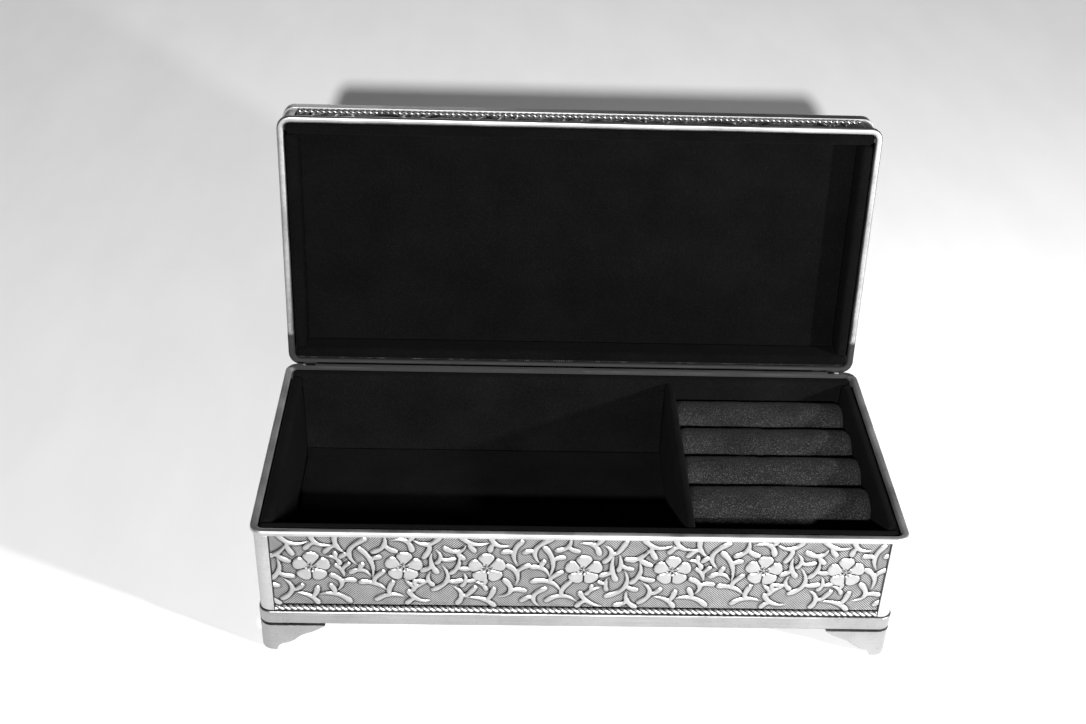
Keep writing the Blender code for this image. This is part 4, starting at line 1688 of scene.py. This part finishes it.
@dataclass
class Studio:
    """A pale floor, a camera that looks down into the open box, and its lamps."""

    lens: float = 48.3
    yaw: float = -2.0
    pitch: float = 33.97
    roll: float = 2.06
    camera_from_mouth: tuple[float, float, float] = (-0.12643, -1.66473, 1.43602)
    floor_size: float = 7.0
    air_light: float = 0.04
    lamps: Sequence[Lamp] = (
        Lamp("front_lamp", (-0.048, -0.91, 0.547), (0.0, 0.0, 0.05), 0.03, 19.0, even=True),
        Lamp("side_lamp", (0.455, -0.327, 0.232), (0.0, 0.0, 0.05), 0.03, 4.8),
        Lamp("back_lamp", (-0.3, 1.90, 0.22), (0.0, 0.0, 0.08), 0.60, 2.2),
    )

    def build(self) -> None:
        """Sets up the floor, the air, the lamps and the camera."""
        scene = bpy.context.scene
        scene.view_settings.view_transform = "Standard"
        self.lay_floor()
        world = bpy.data.worlds.new("studio_air")
        world.use_nodes = True
        world.node_tree.nodes["Background"].inputs["Color"].default_value = (1.0, 1.0, 1.0, 1.0)
        world.node_tree.nodes["Background"].inputs["Strength"].default_value = self.air_light
        scene.world = world
        for lamp in self.lamps:
            self.hang(lamp)
        self.set_camera()

    def lay_floor(self) -> None:
        """Lays one large pale sheet under the box."""
        half = self.floor_size / 2
        corners = np.array([(-half, -half, 0), (half, -half, 0), (half, half, 0), (-half, half, 0)])
        mesh = bpy.data.meshes.new("studio_floor")
        mesh.from_pydata((corners + np.array([0, 0, cad_low.z])).tolist(), [], [(0, 1, 2, 3)])
        mesh.materials.append(PlainCover("studio_paper", 0.80, 0.83, 30.0).material())
        floor = bpy.data.objects.new("studio_floor", mesh)
        bpy.context.scene.collection.objects.link(floor)

    def hang(self, lamp: Lamp) -> None:
        """Hangs a lamp and turns it to its aim.

        Args:
            lamp: The lamp.
        """
        light = bpy.data.lights.new(lamp.name, "AREA")
        light.energy = lamp.watts
        light.shape = "DISK"
        light.size = lamp.width
        if lamp.even:
            light.use_nodes = True
            tree = light.node_tree
            falloff = tree.nodes.new("ShaderNodeLightFalloff")
            falloff.inputs["Strength"].default_value = 1.0
            tree.links.new(falloff.outputs["Constant"], tree.nodes["Emission"].inputs["Strength"])
        holder = bpy.data.objects.new(lamp.name, light)
        bpy.context.scene.collection.objects.link(holder)
        holder.location = lamp.place
        holder.visible_camera = False
        aim = Vector(lamp.aim) - Vector(lamp.place)
        holder.rotation_euler = aim.to_track_quat("-Z", "Y").to_euler()

    def set_camera(self) -> None:
        """Sets the camera from the mouth's front edge, in shares of the box's length."""
        low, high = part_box("top_rim")
        length = high.x - low.x
        mouth = Vector(((low.x + high.x) / 2, low.y, high.z))
        place = mouth + Vector(self.camera_from_mouth) * length
        yaw, pitch, roll = (math.radians(turn) for turn in (self.yaw, self.pitch, self.roll))
        level = Vector((math.cos(yaw), math.sin(yaw), 0))
        ahead = Vector((-math.sin(yaw), math.cos(yaw), 0))
        straight_up = Vector((0, 0, 1))
        forward = ahead * math.cos(pitch) - straight_up * math.sin(pitch)
        up = ahead * math.sin(pitch) + straight_up * math.cos(pitch)
        camera_x = level * math.cos(roll) + up * math.sin(roll)
        camera_y = up * math.cos(roll) - level * math.sin(roll)
        lens = bpy.data.cameras.new("studio_camera")
        lens.lens = self.lens
        lens.sensor_width = 36.0
        camera = bpy.data.objects.new("studio_camera", lens)
        bpy.context.scene.collection.objects.link(camera)
        turned = Matrix((camera_x, camera_y, -forward)).transposed().to_4x4()
        camera.matrix_world = Matrix.Translation(place) @ turned
        bpy.context.scene.camera = camera


def write_sizes() -> None:
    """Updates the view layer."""
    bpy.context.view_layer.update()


def main() -> None:
    """Builds the studio and then the box, from the metal to the lining."""
    logging.basicConfig(level=logging.INFO, format="%(name)s: %(message)s")
    Studio().build()
    finishes = Finishes()
    PlainMetal().build(finishes)
    ReliefWork().build(finishes)
    RopeWires().build(finishes)
    Lining().build(finishes)
    LidLining().build(finishes)
    RingRolls().build(finishes)
    BaseCover().build(finishes)
    write_sizes()


if __name__ == "__main__":
    main()
